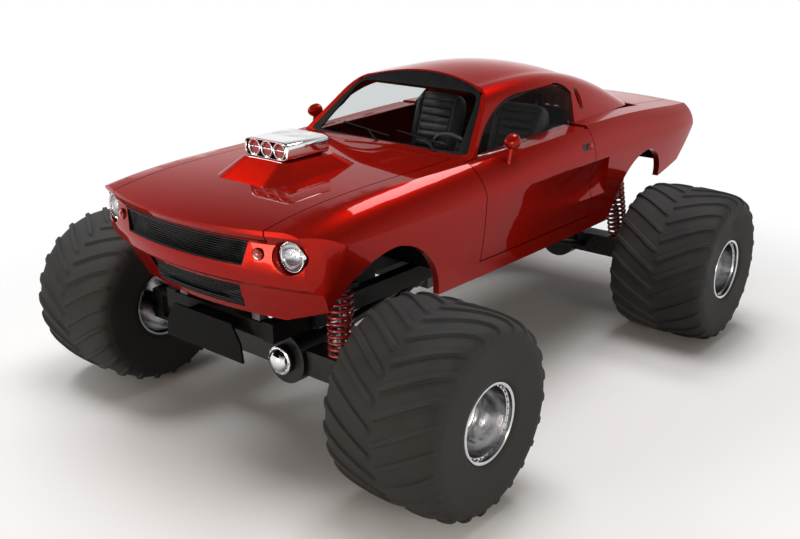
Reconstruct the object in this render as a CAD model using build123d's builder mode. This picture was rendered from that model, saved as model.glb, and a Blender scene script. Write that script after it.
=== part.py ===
"""Monster truck: a fastback coupe body carried high on a ladder frame with two beam axles and four
very wide bar-lug tyres. X points forward, Y to the driver's left, Z up from the floor, in millimetres."""

import os
from math import atan2, cos, degrees, hypot, pi, sin

from build123d import *

os.makedirs("parts", exist_ok=True)

# Overall sizes
BODY_LENGTH = 4600
NOSE_LEAD = 30
NOSE_X = (BODY_LENGTH + NOSE_LEAD) / 2
TAIL_X = NOSE_X - BODY_LENGTH
WHEELBASE = 2970
FRONT_OVERHANG = 648
FRONT_AXLE_X = NOSE_X - FRONT_OVERHANG
REAR_AXLE_X = FRONT_AXLE_X - WHEELBASE
TRACK = 2526

# Wheels: radius to the lug tips, rim barrel
TYRE_R = 545
RIM_R = 206
RIM_W = 654
BEAD_GAP = 0.3

# Heights are drawn from a datum plane that lies this far under the floor
FLOOR_Z0 = 21
AXLE_Z = FLOOR_Z0 + TYRE_R

# Walls and shut lines
SIDE_WALL = 48
TOP_WALL = 26
NOSE_WALL = 60
TAIL_WALL = 50
SHUT_GAP = 7
SEAT_GAP = 0.3

# Heights that run the length of the body
LOFT_LOW = 840
CREASE_Z = 1390
DOOR_LOW_Z = 985
CHIN_Z = 965

# Panel lines, as distances behind the nose
NOSE_BACK = 290
HOOD_FRONT = 62
HOOD_REAR = 1612
HOOD_HALF = 596
COWL_REAR = 1738
DOOR_FRONT = 1600
DOOR_REAR = 2886
CABIN_REAR = 3960
DECK_FRONT = 4010
DECK_REAR = 4520
DECK_HALF = 590
TAIL_FRONT = 4500

# Lower body sections: distance behind the nose, half widths at sill, crease and belt, belt and crown heights
BODY_STATIONS = [
    (0, 700, 806, 672, 1442, 1456),
    (400, 768, 868, 700, 1520, 1530),
    (1200, 806, 875, 716, 1556, 1568),
    (1650, 815, 878, 742, 1566, 1578),
    (2850, 822, 884, 790, 1606, 1622),
    (3600, 814, 880, 772, 1597, 1625),
    (4600, 742, 836, 742, 1540, 1568),
]
BODY_CROWN_Z = max(row[5] for row in BODY_STATIONS)
SHOULDER_BULGE = 16
FLANK_BULGE = 14

# Greenhouse sections: distance behind the nose, half widths at base and roof rail, rail and crown heights
ROOF_STATIONS = [
    (1500, 728, 560, 1866, 1940),
    (2200, 752, 545, 1896, 1984),
    (2750, 762, 540, 1902, 1996),
    (3300, 752, 528, 1826, 1902),
    (3750, 728, 530, 1684, 1742),
    (3990, 712, 540, 1578, 1612),
]
ROOF_BASE_Z = 1470
ROOF_WALL = 36
RAIL_DROP = 64
RAIL_IN = 120
RAIL_RISE = 36

# Windscreen plane, on the centre line
SCREEN_BASE = (1665, 1528)
SCREEN_TOP = (2070, 1895)
SCREEN_BASE_HALF = 606
SCREEN_TOP_HALF = 500
GLASS = 6
GLASS_GAP = 7
GLASS_INSET = 9


def back(distance):
    """The X of a point that lies this far behind the nose."""
    return NOSE_X - distance


def save(piece, name):
    """Brings a finished piece from the drawing datum down to the floor, labels it and writes its STEP file."""
    placed = piece.moved(Location((0, 0, -FLOOR_Z0)))
    placed.label = name
    export_step(placed, f"parts/{name}.step")


def line_plane(start, end, along):
    """A plane square to the line from start to end, this far along it."""
    direction = (Vector(*end) - Vector(*start)).normalized()
    return Plane(origin=Vector(*start) + direction * along, z_dir=direction)


def faceted(plane, rings, sides, ring_closed=False):
    """A solid of flat facets between polygons round a plane's Z axis, each ring a height and a radius."""
    turns = [2 * pi * index / sides for index in range(sides)]
    loops = [[plane.from_local_coords((r * cos(t), r * sin(t), h)) for t in turns] for h, r in rings]
    facets = [] if ring_closed else [Face(Wire.make_polygon(loop)) for loop in (loops[0], loops[-1])]
    following = loops[1:] + loops[:1] if ring_closed else loops[1:]
    for low, high in zip(loops, following):
        for index in range(sides):
            after = (index + 1) % sides
            facets.append(Face(Wire.make_polygon([low[index], low[after], high[after], high[index]])))
    return Solid(Shell(facets))


def body_loft(side, top, low):
    """The lower body as one solid, with its sections drawn in by a side wall and a top wall."""
    with BuildPart() as lofted:
        for behind, sill, crease, belt, belt_z, crown_z in BODY_STATIONS:
            y_sill, y_crease, y_belt = sill - side, crease - side, belt - side
            z_belt, z_crown = belt_z - top, crown_z - top
            flank = ((y_sill + y_crease) / 2 + FLANK_BULGE, (low + CREASE_Z) / 2)
            shoulder = ((y_crease + y_belt) / 2 + SHOULDER_BULGE, (CREASE_Z + z_belt) / 2 + SHOULDER_BULGE)
            with BuildSketch(Plane.YZ.offset(back(behind))):
                with BuildLine():
                    Line((-y_sill, low), (y_sill, low))
                    ThreePointArc((y_sill, low), flank, (y_crease, CREASE_Z))
                    ThreePointArc((y_crease, CREASE_Z), shoulder, (y_belt, z_belt))
                    ThreePointArc((y_belt, z_belt), (0, z_crown), (-y_belt, z_belt))
                    ThreePointArc((-y_belt, z_belt), (-shoulder[0], shoulder[1]), (-y_crease, CREASE_Z))
                    ThreePointArc((-y_crease, CREASE_Z), (-flank[0], flank[1]), (-y_sill, low))
                make_face()
        loft()
    return lofted.part


# Plan outline: corner cut of the nose, bow of the tail
CORNER_FRONT, CORNER_FRONT_HALF = 205, 785
CORNER_BACK, CORNER_BACK_HALF = 400, 866
TAIL_BOW = 60
PLAN_HALF = 960


def plan_block(nose_wall, tail_wall):
    """A tall block with the body's plan outline: cut nose corners and a bowed tail."""
    rear = TAIL_X + tail_wall
    slope = (CORNER_BACK_HALF - CORNER_FRONT_HALF) / (CORNER_BACK - CORNER_FRONT)
    front_half = CORNER_FRONT_HALF - slope * CORNER_FRONT - nose_wall
    wide_at = (PLAN_HALF - front_half) / slope
    with BuildPart() as block:
        with BuildSketch(Plane.XY.offset(LOFT_LOW - SIDE_WALL * 2)):
            with BuildLine():
                Polyline(
                    (rear + TAIL_BOW, PLAN_HALF), (back(wide_at), PLAN_HALF), (back(0), front_half),
                    (back(0), -front_half), (back(wide_at), -PLAN_HALF), (rear + TAIL_BOW, -PLAN_HALF),
                )
                ThreePointArc((rear + TAIL_BOW, -PLAN_HALF), (rear, 0), (rear + TAIL_BOW, PLAN_HALF))
            make_face()
        extrude(amount=1000)
    return block.part


# Nose profile, swept round an upright axis far behind it, and tail profile: distance behind the nose, height
NOSE_SWEEP_R = 2100
NOSE_PROFILE = [
    (NOSE_LEAD, 1700), (NOSE_LEAD, 1452), (58, 1402), (46, 1262), (62, 1186), (112, 1150), (196, CHIN_Z),
    (196, 700),
]
TAIL_PROFILE = [(4290, 700), (4290, 1140), (4560, 1385), (4600, 1480), (4600, 1700)]
SWEEP_JOIN = 700


def profile_block(nose_wall, tail_wall):
    """A block across the whole width with the swept nose and the side-view profile of the tail."""
    nose_side = [(NOSE_SWEEP_R - x - nose_wall, z) for x, z in NOSE_PROFILE]
    tail_side = [(back(x) + tail_wall, z) for x, z in TAIL_PROFILE]
    with BuildPart() as block:
        with BuildSketch(Plane.XZ):
            with BuildLine():
                Polyline(*[(back(NOSE_SWEEP_R) + r, z) for r, z in nose_side])
                Polyline(
                    (back(NOSE_SWEEP_R) + nose_side[-1][0], nose_side[-1][1]),
                    (back(NOSE_SWEEP_R), nose_side[-1][1]),
                    (back(NOSE_SWEEP_R), nose_side[0][1]),
                    (back(NOSE_SWEEP_R) + nose_side[0][0], nose_side[0][1]),
                )
            make_face()
        revolve(axis=Axis((back(NOSE_SWEEP_R), 0, 0), (0, 0, 1)))
        with BuildSketch(Plane.YZ.offset(back(NOSE_SWEEP_R))):
            Rectangle(4 * PLAN_HALF, 4 * PLAN_HALF)
        extrude(amount=NOSE_SWEEP_R, mode=Mode.INTERSECT)
        with BuildSketch(Plane.XZ.offset(-PLAN_HALF)):
            with BuildLine():
                Polyline(
                    (back(SWEEP_JOIN), tail_side[-1][1]), (back(SWEEP_JOIN), tail_side[0][1]), *tail_side, close=True
                )
            make_face()
        extrude(amount=2 * PLAN_HALF)
    return block.part


with BuildPart() as body_outer:
    add(body_loft(0, 0, LOFT_LOW))
    add(plan_block(0, 0), mode=Mode.INTERSECT)
    add(profile_block(0, 0), mode=Mode.INTERSECT)

with BuildPart() as body_inner:
    add(body_loft(SIDE_WALL, TOP_WALL, LOFT_LOW - SIDE_WALL))
    add(plan_block(NOSE_WALL, TAIL_WALL), mode=Mode.INTERSECT)
    add(profile_block(NOSE_WALL, TAIL_WALL), mode=Mode.INTERSECT)

# Wheel arches and lower edge, as one cutter seen from the side: distance behind the nose, height
FRONT_ARCH = [(285, 960), (490, 1190), (800, 1288), (1060, 1180), (1236, 880)]
REAR_ARCH = [(3230, 880), (3400, 1210), (3660, 1318), (3900, 1230), (3960, 1070)]
LOW_Z = 700

with BuildPart() as under_cut:
    with BuildSketch(Plane.XZ.offset(-PLAN_HALF)):
        with BuildLine():
            front = [(back(x), z) for x, z in FRONT_ARCH]
            rear = [(back(x), z) for x, z in REAR_ARCH]
            Polyline((back(-50), LOW_Z), (back(-50), CHIN_Z), (back(205), CHIN_Z), front[0])
            ThreePointArc(front[0], front[1], front[2])
            ThreePointArc(front[2], front[3], front[4])
            Line(front[4], rear[0])
            ThreePointArc(rear[0], rear[1], rear[2])
            ThreePointArc(rear[2], rear[3], rear[4])
            Polyline(rear[4], (back(4290), 1140), (back(4700), 1140), (back(4700), LOW_Z), (back(-50), LOW_Z))
        make_face()
    extrude(amount=2 * PLAN_HALF)

with BuildPart() as body_shell:
    add(body_outer.part)
    add(body_inner.part, mode=Mode.SUBTRACT)
    add(under_cut.part, mode=Mode.SUBTRACT)


def belt_z(distance):
    """Height of the belt edge this far behind the nose, along the straight runs between stations."""
    for (x0, *_, z0, _), (x1, *_, z1, _) in zip(BODY_STATIONS, BODY_STATIONS[1:]):
        if x0 <= distance <= x1:
            return z0 + (z1 - z0) * (distance - x0) / (x1 - x0)


TOP_Z = 1750
CABIN_HALF = 640


def side_panel(points, side, source):
    """The part of the shell inside a side-view outline, on the left (side 1) or the right (side -1)."""
    near = 0 if side > 0 else -PLAN_HALF
    with BuildPart() as panel:
        add(source)
        with BuildSketch(Plane.XZ.offset(-near - PLAN_HALF)):
            with BuildLine():
                Polyline(*[(back(x), z) for x, z in points], close=True)
            make_face()
        extrude(amount=PLAN_HALF, mode=Mode.INTERSECT)
    return panel.part


def plan_panel(points, source, z_low, mode):
    """The shell cut by, or kept inside, a plan-view outline above a given height."""
    with BuildPart() as panel:
        add(source)
        with BuildSketch(Plane.XY.offset(z_low)):
            with BuildLine():
                Polyline(*[(back(x), y) for x, y in points], close=True)
            make_face()
        extrude(amount=TOP_Z - z_low, mode=mode)
    return panel.part


def rectangle(x0, x1, half):
    """Plan-view corners between two distances behind the nose, across the centre line."""
    return [(x0, -half), (x1, -half), (x1, half), (x0, half)]


# Bonnet: the top skin between the wings
HOOD_UNDER_Z = 1425
hood_skin = plan_panel(
    rectangle(HOOD_FRONT - 100, HOOD_REAR, HOOD_HALF), body_shell.part, HOOD_UNDER_Z, Mode.INTERSECT
)

# Body with the bonnet, boot lid and cabin openings cut out of its top
open_top = plan_panel(
    rectangle(-100, HOOD_REAR + SHUT_GAP, HOOD_HALF + SHUT_GAP),
    body_shell.part, HOOD_UNDER_Z - SHUT_GAP, Mode.SUBTRACT
)
DECK_UNDER_Z = 1500
deck_lid = plan_panel(
    rectangle(DECK_FRONT, DECK_REAR, DECK_HALF), body_shell.part, DECK_UNDER_Z, Mode.INTERSECT
)
open_top = plan_panel(
    rectangle(DECK_FRONT - SHUT_GAP, DECK_REAR + SHUT_GAP, DECK_HALF + SHUT_GAP),
    open_top, DECK_UNDER_Z, Mode.SUBTRACT
)
COWL_HALF = 690
COWL_SHOULDER = HOOD_HALF + SHUT_GAP
cowl_half = [
    (HOOD_REAR + SHUT_GAP, COWL_SHOULDER), (DOOR_FRONT + SEAT_GAP, COWL_SHOULDER),
    (DOOR_FRONT + SEAT_GAP, COWL_HALF), (COWL_REAR, COWL_HALF),
]
cowl_outline = cowl_half + [(x, -y) for x, y in reversed(cowl_half)]
cowl = plan_panel(cowl_outline, open_top, DECK_UNDER_Z, Mode.INTERSECT)
open_top = plan_panel(
    rectangle(DOOR_FRONT + SEAT_GAP / 2, COWL_REAR + SEAT_GAP, COWL_HALF + SHUT_GAP),
    open_top, DECK_UNDER_Z, Mode.SUBTRACT
)
open_top = plan_panel(
    rectangle(COWL_REAR - 5, CABIN_REAR, CABIN_HALF), open_top, DECK_UNDER_Z, Mode.SUBTRACT
)

save(cowl, "cowl")

# Bonnet bulge under the scoop: a low plinth with sloping sides
BULGE_FRONT, BULGE_REAR = 470, 1330
BULGE_HALF = 300
BULGE_TOP_FRONT, BULGE_TOP_REAR = 680, 1090
BULGE_TOP_HALF = 190
BULGE_TOP_Z = 1640
BULGE_BASE_Z = 1512
BULGE_ROUND, BULGE_TOP_ROUND = 150, 70
with BuildPart() as hood:
    add(hood_skin)
    with BuildSketch(Plane.XY.offset(BULGE_BASE_Z)):
        with Locations((back((BULGE_FRONT + BULGE_REAR) / 2), 0)):
            RectangleRounded(BULGE_REAR - BULGE_FRONT, 2 * BULGE_HALF, BULGE_ROUND)
    with BuildSketch(Plane.XY.offset(BULGE_TOP_Z)):
        with Locations((back((BULGE_TOP_FRONT + BULGE_TOP_REAR) / 2), 0)):
            RectangleRounded(BULGE_TOP_REAR - BULGE_TOP_FRONT, 2 * BULGE_TOP_HALF, BULGE_TOP_ROUND)
    loft()
save(hood.part, "hood")
save(deck_lid, "deck_lid")

# Intake scoop on the bulge: a low box with three round mouths in its front
SCOOP_FRONT, SCOOP_REAR = 706, 1046
SCOOP_HALF = 168
SCOOP_HEIGHT = 142
SCOOP_MOUTH_R = 46
SCOOP_MOUTH_DEPTH = 90
SCOOP_EDGE = 40
with BuildPart() as scoop:
    with BuildSketch(Plane.YZ.offset(back(SCOOP_REAR))):
        with Locations((0, BULGE_TOP_Z + SCOOP_HEIGHT / 2)):
            RectangleRounded(2 * SCOOP_HALF, SCOOP_HEIGHT, SCOOP_EDGE)
    extrude(amount=SCOOP_REAR - SCOOP_FRONT)
    with BuildSketch(Plane.YZ.offset(back(SCOOP_FRONT))):
        with Locations((0, BULGE_TOP_Z + SCOOP_HEIGHT / 2)):
            with GridLocations(2.2 * SCOOP_MOUTH_R, 1, 3, 1):
                Circle(SCOOP_MOUTH_R)
    extrude(amount=-SCOOP_MOUTH_DEPTH, mode=Mode.SUBTRACT)
save(scoop.part, "intake_scoop")

# Nose: the fascia ahead of the wings, with its grille openings and lamp bores
GRILLE_HALF = 490
GRILLE_LOW_Z, GRILLE_TOP_Z = 1276, 1400
VENT_HALF_TOP, VENT_HALF_LOW = 370, 342
VENT_LOW_Z, VENT_TOP_Z = 1034, 1142
LAMP_Y = 706
LAMP_Z = 1349
LAMP_R = 88
SIGNAL_Y = 548
SIGNAL_R = 32
with BuildPart() as nose:
    add(open_top)
    with BuildSketch(Plane.XY.offset(LOW_Z)):
        with BuildLine():
            Polyline(*[(back(x), y) for x, y in rectangle(-100, NOSE_BACK, PLAN_HALF)], close=True)
        make_face()
    extrude(amount=TOP_Z - LOW_Z, mode=Mode.INTERSECT)
    with BuildSketch(Plane.YZ.offset(back(-10))):
        with BuildLine():
            Polyline(
                (-GRILLE_HALF, GRILLE_TOP_Z), (GRILLE_HALF, GRILLE_TOP_Z),
                (GRILLE_HALF - 34, GRILLE_LOW_Z), (-GRILLE_HALF + 34, GRILLE_LOW_Z), close=True,
            )
        make_face()
        with BuildLine():
            Polyline(
                (-VENT_HALF_TOP, VENT_TOP_Z), (VENT_HALF_TOP, VENT_TOP_Z),
                (VENT_HALF_LOW, VENT_LOW_Z), (-VENT_HALF_LOW, VENT_LOW_Z), close=True,
            )
        make_face()
        with Locations((LAMP_Y, LAMP_Z), (-LAMP_Y, LAMP_Z)):
            Circle(LAMP_R)
        with Locations((SIGNAL_Y, LAMP_Z), (-SIGNAL_Y, LAMP_Z)):
            Circle(SIGNAL_R)
    extrude(amount=-NOSE_BACK, mode=Mode.SUBTRACT)
save(nose.part, "nose")

# Grilles: stacks of thin horizontal bars on two end posts, set back in their openings
GRILLE_BAR = 7
GRILLE_DEPTH = 26
GRILLE_SET, VENT_SET = 133, 196


def grille(name, half_top, half_low, z_low, z_top, bars, set_back):
    """Horizontal bars between two posts, filling a trapezoid opening with a small gap all round."""
    with BuildPart() as bars_part:
        for index in range(bars):
            share = (index + 0.5) / bars
            z = z_low + (z_top - z_low) * share
            slope = (half_top - half_low) / (z_top - z_low)
            half = half_low + (z - z_low - GRILLE_BAR) * slope - SEAT_GAP
            with Locations((back(set_back), 0, z)):
                Box(GRILLE_DEPTH, 2 * half, GRILLE_BAR)
        posts = [(back(set_back), side * half_low / 2, (z_low + z_top) / 2) for side in (1, -1)]
        with Locations(*posts):
            Box(GRILLE_DEPTH / 2, GRILLE_BAR, z_top - z_low - 2 * SEAT_GAP)
    save(bars_part.part, name)


grille("grille", GRILLE_HALF, GRILLE_HALF - 34, GRILLE_LOW_Z, GRILLE_TOP_Z, 9, GRILLE_SET)
grille("lower_grille", VENT_HALF_TOP, VENT_HALF_LOW, VENT_LOW_Z, VENT_TOP_Z, 8, VENT_SET)

SIDES = {"left": 1, "right": -1}
LAMP_FRONT, LAMP_REAR = 168, 262
SIGNAL_FRONT = 122
# Round lamps in the nose: name, distance from the centre line, radius, front face behind the nose
NOSE_LAMPS = [("headlamps", LAMP_Y, LAMP_R, LAMP_FRONT), ("turn_lamps", SIGNAL_Y, SIGNAL_R, SIGNAL_FRONT)]
for name, lateral, radius, front_at in NOSE_LAMPS:
    with BuildPart() as lamps:
        with BuildSketch(Plane.YZ.offset(back(LAMP_REAR))):
            with Locations((lateral, LAMP_Z), (-lateral, LAMP_Z)):
                Circle(radius - SEAT_GAP)
        extrude(amount=LAMP_REAR - front_at)
    save(lamps.part, name)

# Side cove: a scallop under the crease that deepens rearwards and ends in an upright lip on the quarter panel
COVE_FRONT, COVE_REAR = 1780, 3076
COVE_LOW_Z, COVE_TOP_Z = 1118, CREASE_Z - 14
COVE_REACH = 930
COVE_FRONT_Y, COVE_REAR_Y = 886, 846
with BuildPart() as coves:
    for side in SIDES.values():
        for behind, deepest in ((COVE_FRONT, COVE_FRONT_Y), (COVE_REAR, COVE_REAR_Y)):
            edge = (deepest + COVE_FRONT_Y) / 2 + SEAT_GAP
            with BuildSketch(Plane.YZ.offset(back(behind))):
                with BuildLine():
                    ThreePointArc(
                        (side * edge, COVE_LOW_Z), (side * deepest, (COVE_LOW_Z + 2 * COVE_TOP_Z) / 3),
                        (side * (deepest + COVE_FRONT_Y * 2) / 3, COVE_TOP_Z),
                    )
                    Polyline(
                        (side * (deepest + COVE_FRONT_Y * 2) / 3, COVE_TOP_Z), (side * COVE_REACH, COVE_TOP_Z),
                        (side * COVE_REACH, COVE_LOW_Z), (side * edge, COVE_LOW_Z),
                    )
                make_face()
        loft()
with BuildPart() as flanks:
    add(open_top)
    add(coves.part, mode=Mode.SUBTRACT)

# Body sides: wing, door, rocker and quarter panel on each side
DOOR_RELIEF_AT, DOOR_RELIEF_HALF = 2845, 806
door_source = plan_panel(
    rectangle(DOOR_RELIEF_AT, DOOR_REAR, DOOR_RELIEF_HALF), flanks.part, DECK_UNDER_Z, Mode.SUBTRACT
)
doors = []
for name, side in SIDES.items():
    wing = side_panel(
        [
            (NOSE_BACK + SEAT_GAP, LOW_Z), (DOOR_FRONT, LOW_Z),
            (DOOR_FRONT, TOP_Z), (NOSE_BACK + SEAT_GAP, TOP_Z),
        ],
        side, open_top,
    )
    save(wing, f"wing_{name}")
    quarter = side_panel(
        [
            (DOOR_REAR, LOW_Z), (TAIL_FRONT - SEAT_GAP, LOW_Z),
            (TAIL_FRONT - SEAT_GAP, TOP_Z), (DOOR_REAR, TOP_Z),
        ],
        side, flanks.part,
    )
    save(quarter, f"quarter_{name}")
    door_top = [
        (DOOR_FRONT + SHUT_GAP, belt_z(DOOR_FRONT) - SHUT_GAP),
        (2850, belt_z(2850) - SHUT_GAP),
        (DOOR_REAR - SHUT_GAP, belt_z(DOOR_REAR) - SHUT_GAP),
    ]
    door = side_panel(
        [
            *door_top, (DOOR_REAR - SHUT_GAP, DOOR_LOW_Z + SHUT_GAP),
            (DOOR_FRONT + SHUT_GAP, DOOR_LOW_Z + SHUT_GAP),
        ],
        side, door_source,
    )
    save(door, f"door_{name}")
    doors.append(door)

rocker_edge = [
    (DOOR_FRONT + SEAT_GAP, LOW_Z), (DOOR_REAR - SEAT_GAP, LOW_Z),
    (DOOR_REAR - SEAT_GAP, DOOR_LOW_Z), (DOOR_FRONT + SEAT_GAP, DOOR_LOW_Z),
]
with BuildPart() as rockers:
    for side in SIDES.values():
        add(side_panel(rocker_edge, side, open_top))
save(rockers.part, "rockers")

TAIL_LAMP_Y = (400, 490, 580)
TAIL_LAMP_W = 64
TAIL_LAMP_LOW_Z, TAIL_LAMP_TOP_Z = 1390, 1500
tail_lamp_at = [(side * y, (TAIL_LAMP_LOW_Z + TAIL_LAMP_TOP_Z) / 2) for side in (1, -1) for y in TAIL_LAMP_Y]
TAIL_LAMP_H = TAIL_LAMP_TOP_Z - TAIL_LAMP_LOW_Z
with BuildPart() as tail:
    add(plan_panel(rectangle(TAIL_FRONT, 4700, PLAN_HALF), open_top, LOW_Z, Mode.INTERSECT))
    with BuildSketch(Plane.YZ.offset(back(4700))):
        with Locations(*tail_lamp_at):
            Rectangle(TAIL_LAMP_W, TAIL_LAMP_H)
    extrude(amount=200, mode=Mode.SUBTRACT)
save(tail.part, "tail_panel")
TAIL_LAMP_DEEP = 4540
with BuildPart() as tail_lamps:
    with BuildSketch(Plane.YZ.offset(back(4700))):
        with Locations(*tail_lamp_at):
            Rectangle(TAIL_LAMP_W - 2 * SEAT_GAP, TAIL_LAMP_H - 2 * SEAT_GAP)
    extrude(amount=4700 - TAIL_LAMP_DEEP)
    add(body_outer.part, mode=Mode.INTERSECT)
save(tail_lamps.part, "tail_lamps")


def roof_loft(inset):
    """The greenhouse as one solid from scuttle to boot, drawn in all round by an inset."""
    with BuildPart() as lofted:
        for behind, base, rail, rail_z, crown_z in ROOF_STATIONS:
            lean = (base - rail) / (rail_z - ROOF_BASE_Z)
            low = (base - inset, ROOF_BASE_Z)
            start = (rail - inset + lean * RAIL_DROP, rail_z - RAIL_DROP - inset)
            corner = (rail - inset - RAIL_IN * 0.22, rail_z - inset + RAIL_RISE * 0.1)
            end = (rail - inset - RAIL_IN, rail_z - inset + RAIL_RISE)
            crown = (0, crown_z - inset)
            with BuildSketch(Plane.YZ.offset(back(behind))):
                with BuildLine():
                    Line((-low[0], low[1]), low)
                    Line(low, start)
                    ThreePointArc(start, corner, end)
                    ThreePointArc(end, crown, (-end[0], end[1]))
                    ThreePointArc((-end[0], end[1]), (-corner[0], corner[1]), (-start[0], start[1]))
                    Line((-start[0], start[1]), (-low[0], low[1]))
                make_face()
        loft()
    return lofted.part


SCREEN_ANGLE = degrees(atan2(SCREEN_TOP[1] - SCREEN_BASE[1], SCREEN_TOP[0] - SCREEN_BASE[0]))
SCREEN_LENGTH = hypot(SCREEN_TOP[0] - SCREEN_BASE[0], SCREEN_TOP[1] - SCREEN_BASE[1])


def screen_plane(depth):
    """The windscreen's plane moved into the cabin by a depth: local X across the car, local Y up the glass."""
    rise = SCREEN_ANGLE * pi / 180
    up = Vector(-cos(rise), 0, sin(rise))
    out = Vector(sin(rise), 0, cos(rise))
    origin = Vector(back(SCREEN_BASE[0]), 0, SCREEN_BASE[1]) - out * depth
    return Plane(origin=origin, x_dir=up.cross(out), z_dir=out)


def behind_screen(solid, depth):
    """The part of a greenhouse solid that lies behind the windscreen's plane."""
    with BuildPart() as kept:
        add(solid)
        with BuildSketch(screen_plane(depth)):
            Rectangle(3000, 8000)
        extrude(amount=-4000, mode=Mode.INTERSECT)
    return kept.part


roof_outer = behind_screen(roof_loft(0), 0)
roof_inner = behind_screen(roof_loft(ROOF_WALL), ROOF_WALL)

# Side window outline: distance behind the nose, height, with an arc over its top
WINDOW_FRONT_LOW, WINDOW_FRONT_MID = (1742, 1560), (2010, 1768)
WINDOW_TOP_FRONT, WINDOW_TOP_REAR = (2420, 1862), (2800, 1868)
WINDOW_REAR_TOP, WINDOW_REAR_LOW = (3020, 1790), (2880, 1560)


def window_prism(shrink):
    """The side window's outline across the whole car, drawn in by a gap."""
    def at(point, dx, dz):
        return (back(point[0] + dx * shrink), point[1] + dz * shrink)

    with BuildPart() as prism:
        with BuildSketch(Plane.XZ.offset(-PLAN_HALF)):
            with BuildLine():
                ThreePointArc(
                    at(WINDOW_FRONT_LOW, 1.4, 0), at(WINDOW_FRONT_MID, 0.9, -1), at(WINDOW_TOP_FRONT, 0.2, -1)
                )
                Line(at(WINDOW_TOP_FRONT, 0.2, -1), at(WINDOW_TOP_REAR, 0, -1))
                ThreePointArc(
                    at(WINDOW_TOP_REAR, 0, -1), at((2965, 1835), -0.7, -0.7), at(WINDOW_REAR_TOP, -1, 0)
                )
                Line(at(WINDOW_REAR_TOP, -1, 0), at(WINDOW_REAR_LOW, -1, 0))
                Line(at(WINDOW_REAR_LOW, -1, 0), at(WINDOW_FRONT_LOW, 1.4, 0))
            make_face()
        extrude(amount=2 * PLAN_HALF)
    return prism.part


SCREEN_MARGIN_LOW = 14


def screen_prism(shrink, reach):
    """The windscreen opening, square to the glass, drawn in by a gap."""
    with BuildPart() as prism:
        with BuildSketch(screen_plane(-reach)):
            with BuildLine():
                low, top = SCREEN_MARGIN_LOW + shrink, SCREEN_LENGTH - shrink
                Polyline(
                    (-SCREEN_BASE_HALF + shrink, low), (SCREEN_BASE_HALF - shrink, low),
                    (SCREEN_TOP_HALF - shrink, top), (-SCREEN_TOP_HALF + shrink, top), close=True,
                )
            make_face()
        extrude(amount=-2 * reach)
    return prism.part


# Rear window: an opening down the fastback, seen in plan
BACKLIGHT_TOP, BACKLIGHT_LOW = 3120, 3860
BACKLIGHT_HALF_TOP, BACKLIGHT_HALF_LOW = 400, 430
BACKLIGHT_CUT_Z = 1560


def backlight_prism(shrink):
    """The rear window's plan outline, cut straight down, drawn in by a gap."""
    with BuildPart() as prism:
        with BuildSketch(Plane.XY.offset(BACKLIGHT_CUT_Z)):
            with BuildLine():
                front, rear = back(BACKLIGHT_TOP + shrink), back(BACKLIGHT_LOW - shrink)
                wide, narrow = BACKLIGHT_HALF_LOW - shrink, BACKLIGHT_HALF_TOP - shrink
                Polyline((front, -narrow), (front, narrow), (rear, wide), (rear, -wide), close=True)
            make_face()
        extrude(amount=800)
    return prism.part


# The body's outer form lifted by the seat gap, so that the greenhouse stands just clear of the panels
with BuildPart() as roof_foot:
    add(body_loft(-SEAT_GAP, -SEAT_GAP, LOFT_LOW))

with BuildPart() as greenhouse:
    add(roof_outer)
    add(roof_inner, mode=Mode.SUBTRACT)
    add(window_prism(0), mode=Mode.SUBTRACT)
    add(screen_prism(0, 120), mode=Mode.SUBTRACT)
    add(backlight_prism(0), mode=Mode.SUBTRACT)
    add(roof_foot.part, mode=Mode.SUBTRACT)

ROOF_FRONT = 2076
SAIL_FRONT = 2860
SAIL_TOP = [(2955, 1800), (3116, 1866)]
FILLER_FRONT = BACKLIGHT_LOW
ABOVE = 2100
ROOF_LOW_Z = ROOF_BASE_Z + 300
roof_edge = [
    (ROOF_FRONT, ROOF_LOW_Z), (SAIL_TOP[0][0], ROOF_LOW_Z), *SAIL_TOP, (SAIL_TOP[1][0], ABOVE),
    (ROOF_FRONT, ABOVE),
]
with BuildPart() as roof_panel:
    add(greenhouse.part)
    with BuildSketch(Plane.XZ.offset(-PLAN_HALF)):
        with BuildLine():
            Polyline(*[(back(x), z) for x, z in roof_edge], close=True)
        make_face()
    extrude(amount=2 * PLAN_HALF, mode=Mode.INTERSECT)
save(roof_panel.part, "roof")

PILLAR_FRONT = 1500
pillar_edge = [
    (PILLAR_FRONT, ROOF_BASE_Z), (ROOF_FRONT - SEAT_GAP, ROOF_BASE_Z), (ROOF_FRONT - SEAT_GAP, ABOVE),
    (PILLAR_FRONT, ABOVE),
]
sail_edge = [
    (SAIL_FRONT, ROOF_BASE_Z), (SAIL_FRONT, SAIL_TOP[0][1] - SEAT_GAP),
    (SAIL_TOP[0][0], SAIL_TOP[0][1] - SEAT_GAP),
    (SAIL_TOP[1][0] + SEAT_GAP, SAIL_TOP[1][1] - SEAT_GAP), (SAIL_TOP[1][0] + SEAT_GAP, ABOVE),
    (DECK_FRONT, ABOVE), (DECK_FRONT, ROOF_BASE_Z),
]
filler_edge = rectangle(FILLER_FRONT + SEAT_GAP, DECK_FRONT, BACKLIGHT_HALF_LOW - SEAT_GAP)
filler_gap = rectangle(FILLER_FRONT - 60, DECK_FRONT, BACKLIGHT_HALF_LOW)
sail_source = plan_panel(filler_gap, greenhouse.part, BACKLIGHT_CUT_Z, Mode.SUBTRACT)
with BuildPart() as pillars:
    for side in SIDES.values():
        add(side_panel(pillar_edge, side, greenhouse.part))
save(pillars.part, "windscreen_pillars")
with BuildPart() as sails:
    for side in SIDES.values():
        add(side_panel(sail_edge, side, sail_source))
save(sails.part, "sails")
filler = plan_panel(filler_edge, greenhouse.part, BACKLIGHT_CUT_Z, Mode.INTERSECT)
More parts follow.
